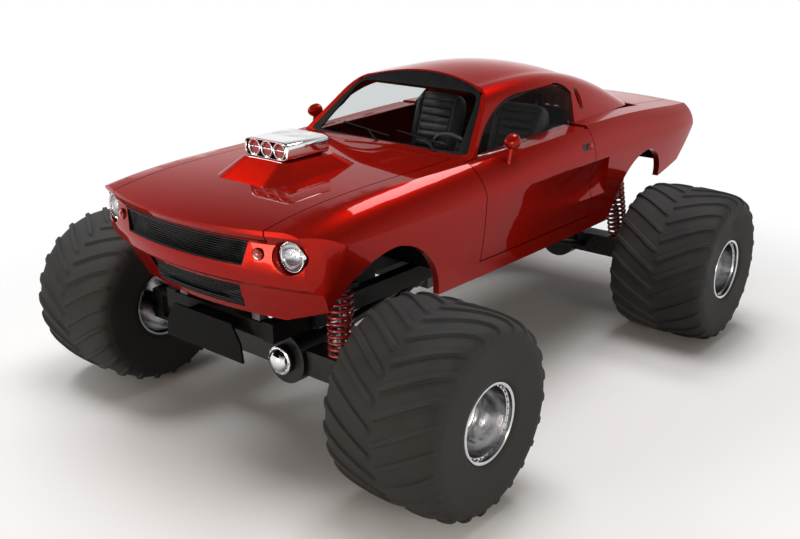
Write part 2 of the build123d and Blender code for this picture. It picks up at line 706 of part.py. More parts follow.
save(filler, "rear_filler")

# Glass: thin shells just under the greenhouse's outer face, one for each opening
with BuildPart() as glass_shell:
    add(roof_loft(GLASS_INSET))
    add(roof_loft(GLASS_INSET + GLASS), mode=Mode.SUBTRACT)

with BuildPart() as backlight:
    add(glass_shell.part)
    add(backlight_prism(SEAT_GAP), mode=Mode.INTERSECT)
save(backlight.part, "rear_window")

with BuildPart() as windscreen:
    with BuildSketch(screen_plane(GLASS_INSET)):
        with BuildLine():
            low, top = SCREEN_MARGIN_LOW + SEAT_GAP, SCREEN_LENGTH - SEAT_GAP
            Polyline(
                (-SCREEN_BASE_HALF + SEAT_GAP, low), (SCREEN_BASE_HALF - SEAT_GAP, low),
                (SCREEN_TOP_HALF - SEAT_GAP, top), (-SCREEN_TOP_HALF + SEAT_GAP, top), close=True,
            )
        make_face()
    extrude(amount=-GLASS)
    add(roof_foot.part, mode=Mode.SUBTRACT)
save(windscreen.part, "windscreen")

for name, side in SIDES.items():
    with BuildPart() as door_glass:
        add(glass_shell.part)
        add(window_prism(GLASS_GAP), mode=Mode.INTERSECT)
        with BuildSketch(Plane.XZ.offset(-PLAN_HALF if side > 0 else 0)):
            with BuildLine():
                foot = [(back(x), z + SEAT_GAP) for x, z in door_top]
                step_z = BODY_CROWN_Z + GLASS_GAP
                rear_end = back(DOOR_REAR + 300)
                Polyline(
                    *foot, (foot[-1][0], step_z), (rear_end, step_z), (rear_end, ABOVE), (foot[0][0], ABOVE),
                    close=True,
                )
            make_face()
        extrude(amount=PLAN_HALF, mode=Mode.INTERSECT)
    save(door_glass.part, f"door_glass_{name}")

# Floors and bulkheads, trimmed to the inside of the panels
with BuildPart() as inner_fit:
    add(body_loft(SIDE_WALL + SEAT_GAP, TOP_WALL + SEAT_GAP, LOFT_LOW - SIDE_WALL))
    add(plan_block(NOSE_WALL + SEAT_GAP, TAIL_WALL + SEAT_GAP), mode=Mode.INTERSECT)
    add(profile_block(NOSE_WALL + SEAT_GAP, TAIL_WALL + SEAT_GAP), mode=Mode.INTERSECT)

FLOOR_Z, FLOOR_THICK = 905, 30
FLOOR_FRONT, FLOOR_REAR = 1500, 3230
FIREWALL_TOP = 1490
SHELF_Z = 1345
SHELF_REAR = 4470
LATCH_AT, LATCH_Y, LATCH_R = 4440, 520, 16
# Plates of the cabin: name, front and rear behind the nose, low and high Z
CABIN_PLATES = [
    ("floor_pan", FLOOR_FRONT, FLOOR_REAR, FLOOR_Z, FLOOR_Z + FLOOR_THICK),
    ("firewall", FLOOR_FRONT, FLOOR_FRONT + FLOOR_THICK, FLOOR_Z + FLOOR_THICK, FIREWALL_TOP),
    ("rear_bulkhead", FLOOR_REAR - FLOOR_THICK, FLOOR_REAR, FLOOR_Z + FLOOR_THICK, SHELF_Z),
    ("rear_floor", FLOOR_REAR - FLOOR_THICK, SHELF_REAR, SHELF_Z, SHELF_Z + FLOOR_THICK),
]
for name, front_at, rear_at, z_low, z_high in CABIN_PLATES:
    with BuildPart() as plate:
        with Locations((back((front_at + rear_at) / 2), 0, (z_low + z_high) / 2)):
            Box(rear_at - front_at, 2 * PLAN_HALF, z_high - z_low)
        add(inner_fit.part, mode=Mode.INTERSECT)
        if name == "rear_floor":
            with Locations(*[(back(LATCH_AT), y, SHELF_Z + 150) for y in (LATCH_Y, -LATCH_Y)]):
                Cylinder(LATCH_R, 300)
            add(inner_fit.part, mode=Mode.INTERSECT)
    save(plate.part, name)

SEAT_Y = 345
SEAT_HALF = 225
seat_edge = [
    (2130, FLOOR_Z + FLOOR_THICK), (2660, FLOOR_Z + FLOOR_THICK), (2860, 1700), (2760, 1715), (2590, 1180),
    (2120, 1215),
]
with BuildPart() as seats:
    for side in SIDES.values():
        with BuildSketch(Plane.XZ.offset(-side * SEAT_Y - SEAT_HALF)):
            with BuildLine():
                Polyline(*[(back(x), z) for x, z in seat_edge], close=True)
            make_face()
        extrude(amount=2 * SEAT_HALF)
save(seats.part, "seats")

# Dashboard: one padded moulding from the firewall back to its lip
DASH_FRONT, DASH_REAR = FLOOR_FRONT + FLOOR_THICK, 1840
DASH_HALF = 660
DASH_LOW_Z, DASH_TOP_Z = 1330, 1500
dash_edge = [
    (DASH_REAR - 40, DASH_LOW_Z), (DASH_FRONT, DASH_LOW_Z), (DASH_FRONT, DASH_TOP_Z - 20),
    (DASH_REAR - 75, DASH_TOP_Z), (DASH_REAR, DASH_TOP_Z - 30),
]
with BuildPart() as dash:
    with BuildSketch(Plane.XZ.offset(-DASH_HALF)):
        with BuildLine():
            Polyline(*[(back(x), z) for x, z in dash_edge], close=True)
        make_face()
    extrude(amount=2 * DASH_HALF)
save(dash.part, "dashboard")

# Steering wheel: a rim with a two-arm spoke and a column that runs into the dashboard
WHEEL_AT, WHEEL_Z = 1990, 1470
WHEEL_RIM_R, WHEEL_TUBE_R = 180, 14
SPOKE_W, SPOKE_HUB_R, WHEEL_THICK = 36, 46, 22
COLUMN_R, COLUMN_L = 24, 260
COLUMN_SLOPE = 20
with BuildPart() as steering_wheel:
    tilt = COLUMN_SLOPE * pi / 180
    hub = Plane(origin=(back(WHEEL_AT), SEAT_Y, WHEEL_Z), x_dir=(0, 1, 0), z_dir=(-cos(tilt), 0, sin(tilt)))
    with BuildSketch(hub):
        Circle(WHEEL_RIM_R)
        Circle(WHEEL_RIM_R - 2 * WHEEL_TUBE_R, mode=Mode.SUBTRACT)
        Rectangle(2 * (WHEEL_RIM_R - WHEEL_TUBE_R), SPOKE_W)
        Circle(SPOKE_HUB_R)
    extrude(amount=WHEEL_THICK)
    with BuildSketch(hub):
        Circle(COLUMN_R)
    extrude(amount=-COLUMN_L)
    add(dash.part, mode=Mode.SUBTRACT)
save(steering_wheel.part, "steering_wheel")

# Door mirrors: a teardrop pod with its point forward, on a slanting stalk from the door's shoulder
MIRROR_BACK, MIRROR_Y, MIRROR_Z = 1939, 815, 1650
MIRROR_TIP, MIRROR_REAR = 66, 52
MIRROR_R = 47
STALK_AT, STALK_Y, STALK_Z = 1915, 806, 1520
STALK_R = 13
POD_SIDES = 20
# Pod rings: distance ahead of its middle, share of its full radius
POD_RINGS = [
    (-MIRROR_REAR, 0.3), (-MIRROR_REAR * 0.9, 0.66), (-MIRROR_REAR * 0.62, 0.9), (-MIRROR_REAR * 0.2, 1),
    (MIRROR_TIP * 0.25, 0.88), (MIRROR_TIP * 0.62, 0.54), (MIRROR_TIP, 0.08),
]
pod_rings = [(ahead, share * MIRROR_R) for ahead, share in POD_RINGS]
for (name, side), door in zip(SIDES.items(), doors):
    pod = (back(MIRROR_BACK), side * MIRROR_Y, MIRROR_Z)
    foot = (back(STALK_AT), side * STALK_Y, STALK_Z)
    with BuildPart() as mirror_pod:
        add(faceted(Plane(origin=pod, z_dir=(1, 0, 0)), pod_rings, POD_SIDES))
        with BuildSketch(line_plane(foot, pod, 0)):
            Circle(STALK_R)
        extrude(amount=(Vector(*pod) - Vector(*foot)).length)
        add(door, mode=Mode.SUBTRACT)
    save(mirror_pod.part, f"mirror_{name}")

# Ladder frame: two rails with body mounts, crossmembers between them and spring towers outside them
RAIL_Y, RAIL_W, RAIL_H = 400, 80, 110
RAIL_Z = 835
RAIL_FRONT, RAIL_REAR = 300, 4250
RAIL_TOP_Z = RAIL_Z + RAIL_H / 2
BODY_MOUNT_R = 42
BODY_MOUNTS_AT = (1640, 2300, 3000)
CROSS_AT = (340, 2200, 3050, 4180)
CROSS_H = 90
RAIL_IN_Y = RAIL_Y - RAIL_W / 2
RAIL_OUT_Y = RAIL_Y + RAIL_W / 2
TOW_EYE_R = 14
TOW_EYE_INSET = 60
JACK_PAD_AT, JACK_PAD_L, JACK_PAD_H = 2140, 110, 16
with BuildPart() as rails:
    for side in SIDES.values():
        with Locations((back((RAIL_FRONT + RAIL_REAR) / 2), side * RAIL_Y, RAIL_Z)):
            Box(RAIL_REAR - RAIL_FRONT, RAIL_W, RAIL_H)
        with BuildSketch(Plane.XY.offset(RAIL_TOP_Z)):
            with Locations(*[(back(behind), side * RAIL_Y) for behind in BODY_MOUNTS_AT]):
                Circle(BODY_MOUNT_R)
        extrude(amount=FLOOR_Z - RAIL_TOP_Z)
        with Locations((back(JACK_PAD_AT), side * RAIL_Y, RAIL_Z - (RAIL_H + JACK_PAD_H) / 2)):
            Box(JACK_PAD_L, RAIL_W, JACK_PAD_H)
        with Locations((back(RAIL_REAR - TOW_EYE_INSET), side * RAIL_Y, RAIL_Z)):
            Cylinder(TOW_EYE_R, RAIL_H, mode=Mode.SUBTRACT)
save(rails.part, "frame_rails")

with BuildPart() as crossmembers:
    for behind in CROSS_AT:
        with Locations((back(behind), 0, RAIL_Z)):
            Box(RAIL_W, 2 * RAIL_IN_Y, CROSS_H)
save(crossmembers.part, "crossmembers")

# Skid plate hung on the front crossmember
SKID_AT, SKID_THICK = 190, 14
SKID_LOW_Z, SKID_TOP_Z = 670, 878
SKID_HALF_LOW, SKID_HALF_TOP = 315, 236
SKID_BRACKET = 60
CROSS_FACE = CROSS_AT[0] - RAIL_W / 2
with BuildPart() as skid_plate:
    with BuildSketch(Plane.YZ.offset(back(SKID_AT + SKID_THICK))):
        with BuildLine():
            mid_z = (SKID_LOW_Z + SKID_TOP_Z) / 2
            Polyline(
                (-SKID_HALF_LOW, SKID_LOW_Z), (SKID_HALF_LOW, SKID_LOW_Z), (SKID_HALF_LOW - 15, mid_z),
                (SKID_HALF_TOP, SKID_TOP_Z), (-SKID_HALF_TOP, SKID_TOP_Z), (-SKID_HALF_LOW + 15, mid_z),
                close=True,
            )
        make_face()
    extrude(amount=SKID_THICK)
    with Locations((back((SKID_AT + CROSS_FACE) / 2), 0, RAIL_Z)):
        Box(CROSS_FACE - SKID_AT, 300, SKID_BRACKET)
save(skid_plate.part, "skid_plate")

# Radiator on two legs above the front crossmember
RADIATOR_FRONT, RADIATOR_REAR = 312, 372
RADIATOR_HALF = 430
RADIATOR_LOW_Z, RADIATOR_TOP_Z = 1000, 1400
STOP_R = 18
LEG_Y, LEG_W = 300, 60
with BuildPart() as radiator:
    with Locations((back((RADIATOR_FRONT + RADIATOR_REAR) / 2), 0, (RADIATOR_LOW_Z + RADIATOR_TOP_Z) / 2)):
        Box(RADIATOR_REAR - RADIATOR_FRONT, 2 * RADIATOR_HALF, RADIATOR_TOP_Z - RADIATOR_LOW_Z)
    leg_low = RAIL_Z + CROSS_H / 2
    core_x = back((RADIATOR_FRONT + RADIATOR_REAR) / 2)
    for side in SIDES.values():
        with Locations((core_x, side * LEG_Y, (leg_low + RADIATOR_LOW_Z) / 2)):
            Box(RADIATOR_REAR - RADIATOR_FRONT, LEG_W, RADIATOR_LOW_Z - leg_low)
        with Locations((core_x, side * LEG_Y, RADIATOR_TOP_Z + 100)):
            Cylinder(STOP_R, 200)
    add(inner_fit.part, mode=Mode.INTERSECT)
save(radiator.part, "radiator")

# Engine: a plain block between the rails, with a foot on each rail
ENGINE_FRONT, ENGINE_REAR = 640, 1340
ENGINE_HALF = 250
ENGINE_LOW_Z, ENGINE_TOP_Z = 800, 1420
GEARBOX_REAR, GEARBOX_HALF = 1760, 120
GEARBOX_LOW_Z, GEARBOX_TOP_Z = 790, 897
FOOT_AT, FOOT_L, FOOT_H = 950, 120, 50
with BuildPart() as engine:
    with Locations((back((ENGINE_FRONT + ENGINE_REAR) / 2), 0, (ENGINE_LOW_Z + ENGINE_TOP_Z) / 2)):
        Box(ENGINE_REAR - ENGINE_FRONT, 2 * ENGINE_HALF, ENGINE_TOP_Z - ENGINE_LOW_Z)
    with Locations((back(FOOT_AT), 0, RAIL_Z)):
        Box(FOOT_L, 2 * RAIL_IN_Y, FOOT_H)
save(engine.part, "engine")

# Axles: box beams, a drum-shaped differential with a round cover and a pinion nose along the drive shaft
BEAM = 150
DIFF_R, DIFF_L = 150, 210
DIFF_Y = 265
COVER_R, COVER_L = 82, 40
PINION_R, PINION_L = 56, 250
SHAFT_R = 34
CASE_FRONT = GEARBOX_REAR
CASE_REAR = CROSS_AT[1] - RAIL_W / 2
CASE_HALF = 335
CASE_LOW_Z, CASE_TOP_Z = 650, 897
OUTPUT_Z, OUTPUT_R = 715, 50
STUB_L = 60


front_diff = (FRONT_AXLE_X, DIFF_Y, AXLE_Z)
rear_diff = (REAR_AXLE_X, DIFF_Y, AXLE_Z)
front_output = (back(CASE_FRONT), DIFF_Y, OUTPUT_Z)
rear_output = (back(CASE_REAR), DIFF_Y, OUTPUT_Z)
with BuildPart() as gearbox:
    with Locations((back((ENGINE_REAR + GEARBOX_REAR) / 2), 0, (GEARBOX_LOW_Z + GEARBOX_TOP_Z) / 2)):
        Box(GEARBOX_REAR - ENGINE_REAR, 2 * GEARBOX_HALF, GEARBOX_TOP_Z - GEARBOX_LOW_Z)
    with Locations((back((CASE_FRONT + CASE_REAR) / 2), 0, (CASE_LOW_Z + CASE_TOP_Z) / 2)):
        Box(CASE_REAR - CASE_FRONT, 2 * CASE_HALF, CASE_TOP_Z - CASE_LOW_Z)
    for output, diff in ((front_output, front_diff), (rear_output, rear_diff)):
        with BuildSketch(line_plane(output, diff, -STUB_L)):
            Circle(OUTPUT_R)
        extrude(amount=2 * STUB_L)
save(gearbox.part, "gearbox")

with BuildPart() as drive_shafts:
    for output, diff in ((front_output, front_diff), (rear_output, rear_diff)):
        with BuildSketch(line_plane(output, diff, STUB_L)):
            Circle(SHAFT_R)
        extrude(amount=(Vector(*diff) - Vector(*output)).length - STUB_L - PINION_L)
save(drive_shafts.part, "drive_shafts")

KINGPIN_Y = 960
KINGPIN_R = 22
KNUCKLE_HALF = 70
YOKE_THICK = 26
YOKE_W = 84
YOKE_GAP = 0.5
BEAM_END = KINGPIN_Y - 150
PIN_HALF = KNUCKLE_HALF + YOKE_GAP + YOKE_THICK
with BuildPart() as front_axle:
    with Locations((FRONT_AXLE_X, 0, AXLE_Z)):
        Box(BEAM, 2 * BEAM_END, BEAM)
    with Locations(Plane(front_diff, z_dir=(1, 0, 0))):
        Cylinder(DIFF_R, DIFF_L)
        Cylinder(COVER_R, DIFF_L / 2 + COVER_L, align=(Align.CENTER, Align.CENTER, Align.MIN))
    with BuildSketch(line_plane(front_diff, front_output, 0)):
        Circle(PINION_R)
    extrude(amount=PINION_L)
    for side in SIDES.values():
        for up in (1, -1):
            yoke_z = AXLE_Z + up * (KNUCKLE_HALF + YOKE_GAP + YOKE_THICK / 2)
            with Locations((FRONT_AXLE_X, side * (KINGPIN_Y - 52), yoke_z)):
                Box(YOKE_W, 200, YOKE_THICK)
        with Locations((FRONT_AXLE_X, side * (BEAM_END + 8), AXLE_Z)):
            Box(YOKE_W, 30, 2 * PIN_HALF)
        with Locations((FRONT_AXLE_X, side * KINGPIN_Y, AXLE_Z)):
            Cylinder(KINGPIN_R, 2 * PIN_HALF)
save(front_axle.part, "front_axle")

SPINDLE_R = 40
SPINDLE_END = 1330
RUN_FIT = 0.05
KNUCKLE_L, KNUCKLE_D = 110, 84
for name, side in SIDES.items():
    with BuildPart() as knuckle:
        with Locations((FRONT_AXLE_X, side * (KINGPIN_Y + 5), AXLE_Z)):
            Box(KNUCKLE_D, KNUCKLE_L, 2 * KNUCKLE_HALF)
        with BuildSketch(Plane.XZ.offset(-side * KINGPIN_Y)):
            with Locations((FRONT_AXLE_X, AXLE_Z)):
                Circle(SPINDLE_R)
        extrude(amount=-side * (SPINDLE_END - KINGPIN_Y))
        with Locations((FRONT_AXLE_X, side * KINGPIN_Y, AXLE_Z)):
            Cylinder(KINGPIN_R + RUN_FIT, 4 * KNUCKLE_HALF, mode=Mode.SUBTRACT)
    save(knuckle.part, f"knuckle_{name}")

REAR_BEAM_END = 900
with BuildPart() as rear_axle:
    with Locations((REAR_AXLE_X, 0, AXLE_Z)):
        Box(BEAM, 2 * REAR_BEAM_END, BEAM)
    with Locations(Plane(rear_diff, z_dir=(-1, 0, 0))):
        Cylinder(DIFF_R, DIFF_L)
        Cylinder(COVER_R, DIFF_L / 2 + COVER_L, align=(Align.CENTER, Align.CENTER, Align.MIN))
    with BuildSketch(line_plane(rear_diff, rear_output, 0)):
        Circle(PINION_R)
    extrude(amount=PINION_L)
    for side in SIDES.values():
        with BuildSketch(Plane.XZ.offset(-side * REAR_BEAM_END)):
            with Locations((REAR_AXLE_X, AXLE_Z)):
                Circle(SPINDLE_R)
        extrude(amount=-side * (SPINDLE_END - REAR_BEAM_END))
save(rear_axle.part, "rear_axle")

# Link bars from the axles to the rails
LINK_R = 24
LINK_REACH = 1050
LINK_AXLE_Y, LINK_AXLE_DROP = 480, 40
LINK_ENDS = [(FRONT_AXLE_X, -1), (REAR_AXLE_X, 1)]
with BuildPart() as links:
    for axle_x, toward in LINK_ENDS:
        for side in SIDES.values():
            start = (axle_x, side * LINK_AXLE_Y, AXLE_Z - LINK_AXLE_DROP)
            end = (axle_x + toward * LINK_REACH, side * RAIL_Y, RAIL_Z)
            with BuildSketch(line_plane(start, end, 0)):
                Circle(LINK_R)
            extrude(amount=(Vector(*end) - Vector(*start)).length)
    add(front_axle.part, mode=Mode.SUBTRACT)
    add(rear_axle.part, mode=Mode.SUBTRACT)
    with Locations((0, RAIL_Y, RAIL_Z), (0, -RAIL_Y, RAIL_Z)):
        Box(BODY_LENGTH, RAIL_W, RAIL_H, mode=Mode.SUBTRACT)
save(links.part, "link_bars")

# Rims: a barrel with a lip at each end, a dish well inside it and a hub on the spindle
RIM_DISC_Y, RIM_DISC_THICK = 60, 26
RIM_THICK = 14
LIP_R, LIP_W = 214, 10
HUB_R, HUB_IN, HUB_L = 90, -40, 150
CORNERS = {
    "front_left": (FRONT_AXLE_X, 1), "front_right": (FRONT_AXLE_X, -1),
    "rear_left": (REAR_AXLE_X, 1), "rear_right": (REAR_AXLE_X, -1),
}
for name, (x, side) in CORNERS.items():
    wheel_plane = Plane(origin=(x, side * TRACK / 2, AXLE_Z), x_dir=(1, 0, 0), z_dir=(0, side, 0))
    with BuildPart() as rim:
        with BuildSketch(wheel_plane.offset(-RIM_W / 2)):
            Circle(RIM_R - BEAD_GAP)
            Circle(RIM_R - RIM_THICK, mode=Mode.SUBTRACT)
        extrude(amount=RIM_W)
        with BuildSketch(wheel_plane.offset(RIM_W / 2 - LIP_W), wheel_plane.offset(-RIM_W / 2)):
            Circle(LIP_R)
            Circle(RIM_R - RIM_THICK, mode=Mode.SUBTRACT)
        extrude(amount=LIP_W)
        with BuildSketch(wheel_plane.offset(RIM_DISC_Y)):
            Circle(RIM_R - RIM_THICK / 2)
            Circle(SPINDLE_R + RUN_FIT, mode=Mode.SUBTRACT)
        extrude(amount=RIM_DISC_THICK)
        with BuildSketch(wheel_plane.offset(HUB_IN)):
            Circle(HUB_R)
            Circle(SPINDLE_R + RUN_FIT, mode=Mode.SUBTRACT)
        extrude(amount=HUB_L)
    save(rim.part, f"rim_{name}")

# Tyre carcass: flat facets between rings, each a half width from the middle and a radius
TYRE_SIDES = 30
BEAD_SET = 3
BEAD_HALF = RIM_W / 2 - LIP_W - BEAD_SET
TREAD_R = TYRE_R - 15
BORE_R = RIM_R / cos(pi / TYRE_SIDES)
TYRE_RINGS = [(BEAD_HALF, BORE_R), (345, 400), (318, TREAD_R - 28), (264, TREAD_R - 10)]
tyre_rings = TYRE_RINGS + [(0, TREAD_R)] + [(-half, radius) for half, radius in reversed(TYRE_RINGS)]
# Lugs: ridges in two rows that meet in a chevron, one row half a pitch behind the other
LUGS = 24
LUG_IN, LUG_OUT = 20, 250
LUG_SWEEP = 14
LUG_W, LUG_DEEP = 52, 30
LUG_FALL = 12
lug_planes = []
for row in (1, -1):
    for index in range(LUGS):
        turn = (index + (0 if row > 0 else 0.5)) * 2 * pi / LUGS - pi / 2
        tail = turn + LUG_SWEEP * pi / 180
        tip_r = TYRE_R - LUG_FALL
        start = Vector(TYRE_R * cos(turn), row * LUG_IN, TYRE_R * sin(turn))
        end = Vector(tip_r * cos(tail), row * LUG_OUT, tip_r * sin(tail))
        outward = Vector(cos((turn + tail) / 2), 0, sin((turn + tail) / 2))
        lug_planes.append(Plane(origin=start, x_dir=outward.cross(end - start), z_dir=end - start))
        lug_length = (end - start).length
with BuildPart() as tyre:
    wheel_plane = Plane(origin=(0, 0, 0), x_dir=(1, 0, 0), z_dir=(0, 1, 0))
    add(faceted(wheel_plane, tyre_rings, TYRE_SIDES, ring_closed=True))
    with BuildSketch(*lug_planes):
        with BuildLine():
            Polyline((0, 0), (LUG_W / 2, -LUG_DEEP), (-LUG_W / 2, -LUG_DEEP), close=True)
        make_face()
    extrude(amount=lug_length)
for name, (x, side) in CORNERS.items():
    handed = tyre.part if side > 0 else mirror(tyre.part, about=Plane.XZ)
    save(handed.moved(Location((x, side * TRACK / 2, AXLE_Z))), f"tyre_{name}")

# Coil-over springs that stand on the axle beams: a damper ringed by its coil, with a tower on the rail above it
SPRING_R, DAMPER_R = 74, 46
COIL_PITCH = 36
SPRING_SIDES = 14
TOWER_W, TOWER_THICK = 120, 26
TOWER_REACH = SPRING_R + 6
SPRING_FOOT_Z = AXLE_Z + BEAM / 2
REAR_LEAN = 150
# Distance behind the nose and from the centre line at the foot, then the same and the height at the head
SPRINGS = [
    (FRONT_OVERHANG, 600, FRONT_OVERHANG, 600, 1050),
    (FRONT_OVERHANG + WHEELBASE, 730, FRONT_OVERHANG + WHEELBASE - REAR_LEAN, 715, 1215),
]


def coil_over(foot, head):
    """A damper with coil rings along the line from foot to head, cut level at both heights."""
    line = head - foot
    count = round(line.length / COIL_PITCH) + 2
    pitch = (line.length + 2 * COIL_PITCH) / count
    rings = [((i + half) * pitch, r) for i in range(count) for half, r in ((0, DAMPER_R), (0.5, SPRING_R))]
    with BuildPart() as coil:
        add(faceted(line_plane(foot, head, -COIL_PITCH), rings + [(count * pitch, DAMPER_R)], SPRING_SIDES))
        with Locations((foot + head) / 2):
            Box(line.length, line.length, head.Z - foot.Z, mode=Mode.INTERSECT)
    return coil.part


with BuildPart() as springs:
    for foot_at, foot_y, head_at, head_y, head_z in SPRINGS:
        for side in SIDES.values():
            foot = Vector(back(foot_at), side * foot_y, SPRING_FOOT_Z)
            add(coil_over(foot, Vector(back(head_at), side * head_y, head_z)))
save(springs.part, "springs")
with BuildPart() as towers:
    for foot_at, foot_y, head_at, head_y, head_z in SPRINGS:
        reach = head_y + TOWER_REACH
        low = RAIL_Z - RAIL_H / 2
        high = head_z + TOWER_THICK
        for side in SIDES.values():
            with Locations((back(head_at), side * (RAIL_OUT_Y + reach) / 2, head_z + TOWER_THICK / 2)):
                Box(TOWER_W, reach - RAIL_OUT_Y, TOWER_THICK)
            with Locations((back(head_at), side * (RAIL_OUT_Y + TOWER_THICK / 2), (low + high) / 2)):
                Box(TOWER_W, TOWER_THICK, high - low)
save(towers.part, "spring_towers")
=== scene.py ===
"""Monster truck: a candy-red fastback coupe body on a black ladder frame, beam axles and very wide bar-lug tyres.
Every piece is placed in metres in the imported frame: +X forward, +Y to the driver's left, +Z up from the floor."""

import bmesh
import bpy
import numpy as np
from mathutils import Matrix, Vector
from mathutils.bvhtree import BVHTree


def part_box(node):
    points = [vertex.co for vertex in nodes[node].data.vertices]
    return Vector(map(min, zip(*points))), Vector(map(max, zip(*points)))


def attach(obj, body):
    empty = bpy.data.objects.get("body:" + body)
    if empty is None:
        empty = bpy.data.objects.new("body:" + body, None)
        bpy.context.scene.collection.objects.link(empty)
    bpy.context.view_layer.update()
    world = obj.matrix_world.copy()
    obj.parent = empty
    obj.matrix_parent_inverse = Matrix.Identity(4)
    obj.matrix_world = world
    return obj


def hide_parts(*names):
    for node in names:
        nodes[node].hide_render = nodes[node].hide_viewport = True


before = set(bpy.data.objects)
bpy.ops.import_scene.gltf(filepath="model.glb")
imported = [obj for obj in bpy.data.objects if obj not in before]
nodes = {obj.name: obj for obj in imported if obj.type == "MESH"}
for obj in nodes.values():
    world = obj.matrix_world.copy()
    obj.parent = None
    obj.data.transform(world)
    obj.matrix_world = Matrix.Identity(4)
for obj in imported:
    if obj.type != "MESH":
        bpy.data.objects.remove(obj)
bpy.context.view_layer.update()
SIDES = (("left", 1), ("right", -1))
AHEAD, LEFT, UP = (1, 0, 0), (0, 1, 0), (0, 0, 1)

# Ladder frame, floors and links: welded box steel in satin black paint, dulled in random clouds of road dust.
# The solids themselves show, with facets blended smooth and their cut edges left hard.
WELD_GAP, SMOOTH_BELOW, GRAIN_STRENGTH = 0.00002, 20, 0.25
MIX_LOW, MIX_HIGH, MIX_OUT = 6, 7, 2


def node_maker(tree):
    """Returns a short call that adds a node to a tree, with its properties and its constant or linked inputs."""
    def make(kind, inputs=None, **properties):
        node = tree.nodes.new(kind)
        for key, value in properties.items():
            setattr(node, key, value)
        for key, value in (inputs or {}).items():
            if isinstance(value, bpy.types.NodeSocket):
                tree.links.new(value, node.inputs[key])
            else:
                node.inputs[key].default_value = value
        return node
    return make


def material(name, colour, roughness, metallic=0.0, **sockets):
    """Starts a material with plain values, and returns it with its shader, a maker and coordinates."""
    finish = bpy.data.materials.new(name)
    finish.use_nodes = True
    make = node_maker(finish.node_tree)
    shader = finish.node_tree.nodes["Principled BSDF"]
    shader.inputs["Base Color"].default_value = (*colour, 1)
    shader.inputs["Roughness"].default_value = roughness
    shader.inputs["Metallic"].default_value = metallic
    for key, value in sockets.items():
        shader.inputs[key.replace("_", " ")].default_value = value
    place = make("ShaderNodeTexCoord").outputs["Object"]
    return finish, shader, make, place


def link(finish, source, target):
    """Joins one socket to another in a material."""
    finish.node_tree.links.new(source, target)


def ranged(make, value, start, end, low=0.0, high=1.0, **properties):
    """A value that lies between two limits, moved in step to lie between two others."""
    inputs = {"Value": value, "From Min": start, "From Max": end, "To Min": low, "To Max": high}
    return make("ShaderNodeMapRange", inputs, **properties).outputs["Result"]


# Mottle: cloudy noise and a finer grain, scaled per metre, each a value between nought and one
mottle = bpy.data.node_groups.new("mottle", "ShaderNodeTree")
for key, value in {"Cloud Scale": 3, "Grain Scale": 300}.items():
    mottle.interface.new_socket(key, in_out="INPUT", socket_type="NodeSocketFloat").default_value = value
for key in ("Cloud", "Grain"):
    mottle.interface.new_socket(key, in_out="OUTPUT", socket_type="NodeSocketFloat")
make = node_maker(mottle)
scales = make("NodeGroupInput").outputs
place = make("ShaderNodeTexCoord").outputs["Object"]
cloud = make("ShaderNodeTexNoise", {"Vector": place, "Scale": scales["Cloud Scale"], "Detail": 5})
grain = make("ShaderNodeTexNoise", {"Vector": place, "Scale": scales["Grain Scale"], "Detail": 2})
make("NodeGroupOutput", {"Cloud": ranged(make, cloud.outputs["Fac"], 0.3, 0.7), "Grain": grain.outputs["Fac"]})


def mottled(make, cloud_scale, grain_scale):
    """The mottle's cloud and grain at two scales."""
    scaled = {"Cloud Scale": cloud_scale, "Grain Scale": grain_scale}
    return make("ShaderNodeGroup", scaled, node_tree=mottle).outputs


def mixed(make, share, low, high):
    """The colour that lies between two others by a share from nought to one."""
    inputs = {"Factor": share, MIX_LOW: (*low, 1), MIX_HIGH: (*high, 1)}
    return make("ShaderNodeMix", inputs, data_type="RGBA").outputs[MIX_OUT]


def roughen(finish, shader, make, share, low, high):
    """Sets a finish's roughness between two values by a share from nought to one."""
    link(finish, ranged(make, share, 0, 1, low, high), shader.inputs["Roughness"])


def emboss(finish, shader, make, height, strength, distance):
    """Raises a finish by a height from nought to one, times a distance in metres."""
    raised = make("ShaderNodeBump", {"Strength": strength, "Distance": distance, "Height": height})
    link(finish, raised.outputs["Normal"], shader.inputs["Normal"])


def weather(finish, shader, make, dark, light, rough, cloud_scale, grain_scale, bump):
    """Clouds a finish between two colours and two roughnesses, and raises a fine grain on it."""
    tone = mottled(make, cloud_scale, grain_scale)
    link(finish, mixed(make, tone["Cloud"], dark, light), shader.inputs["Base Color"])
    roughen(finish, shader, make, tone["Cloud"], *rough)
    emboss(finish, shader, make, tone["Grain"], GRAIN_STRENGTH, bump)


def weathered(name, dark, light, rough, cloud_scale, grain_scale, bump, metallic=0.0, **sockets):
    """A material that is clouded and grained all over by the weather call."""
    finish, shader, make, _ = material(name, dark, rough[0], metallic, **sockets)
    weather(finish, shader, make, dark, light, rough, cloud_scale, grain_scale, bump)
    return finish


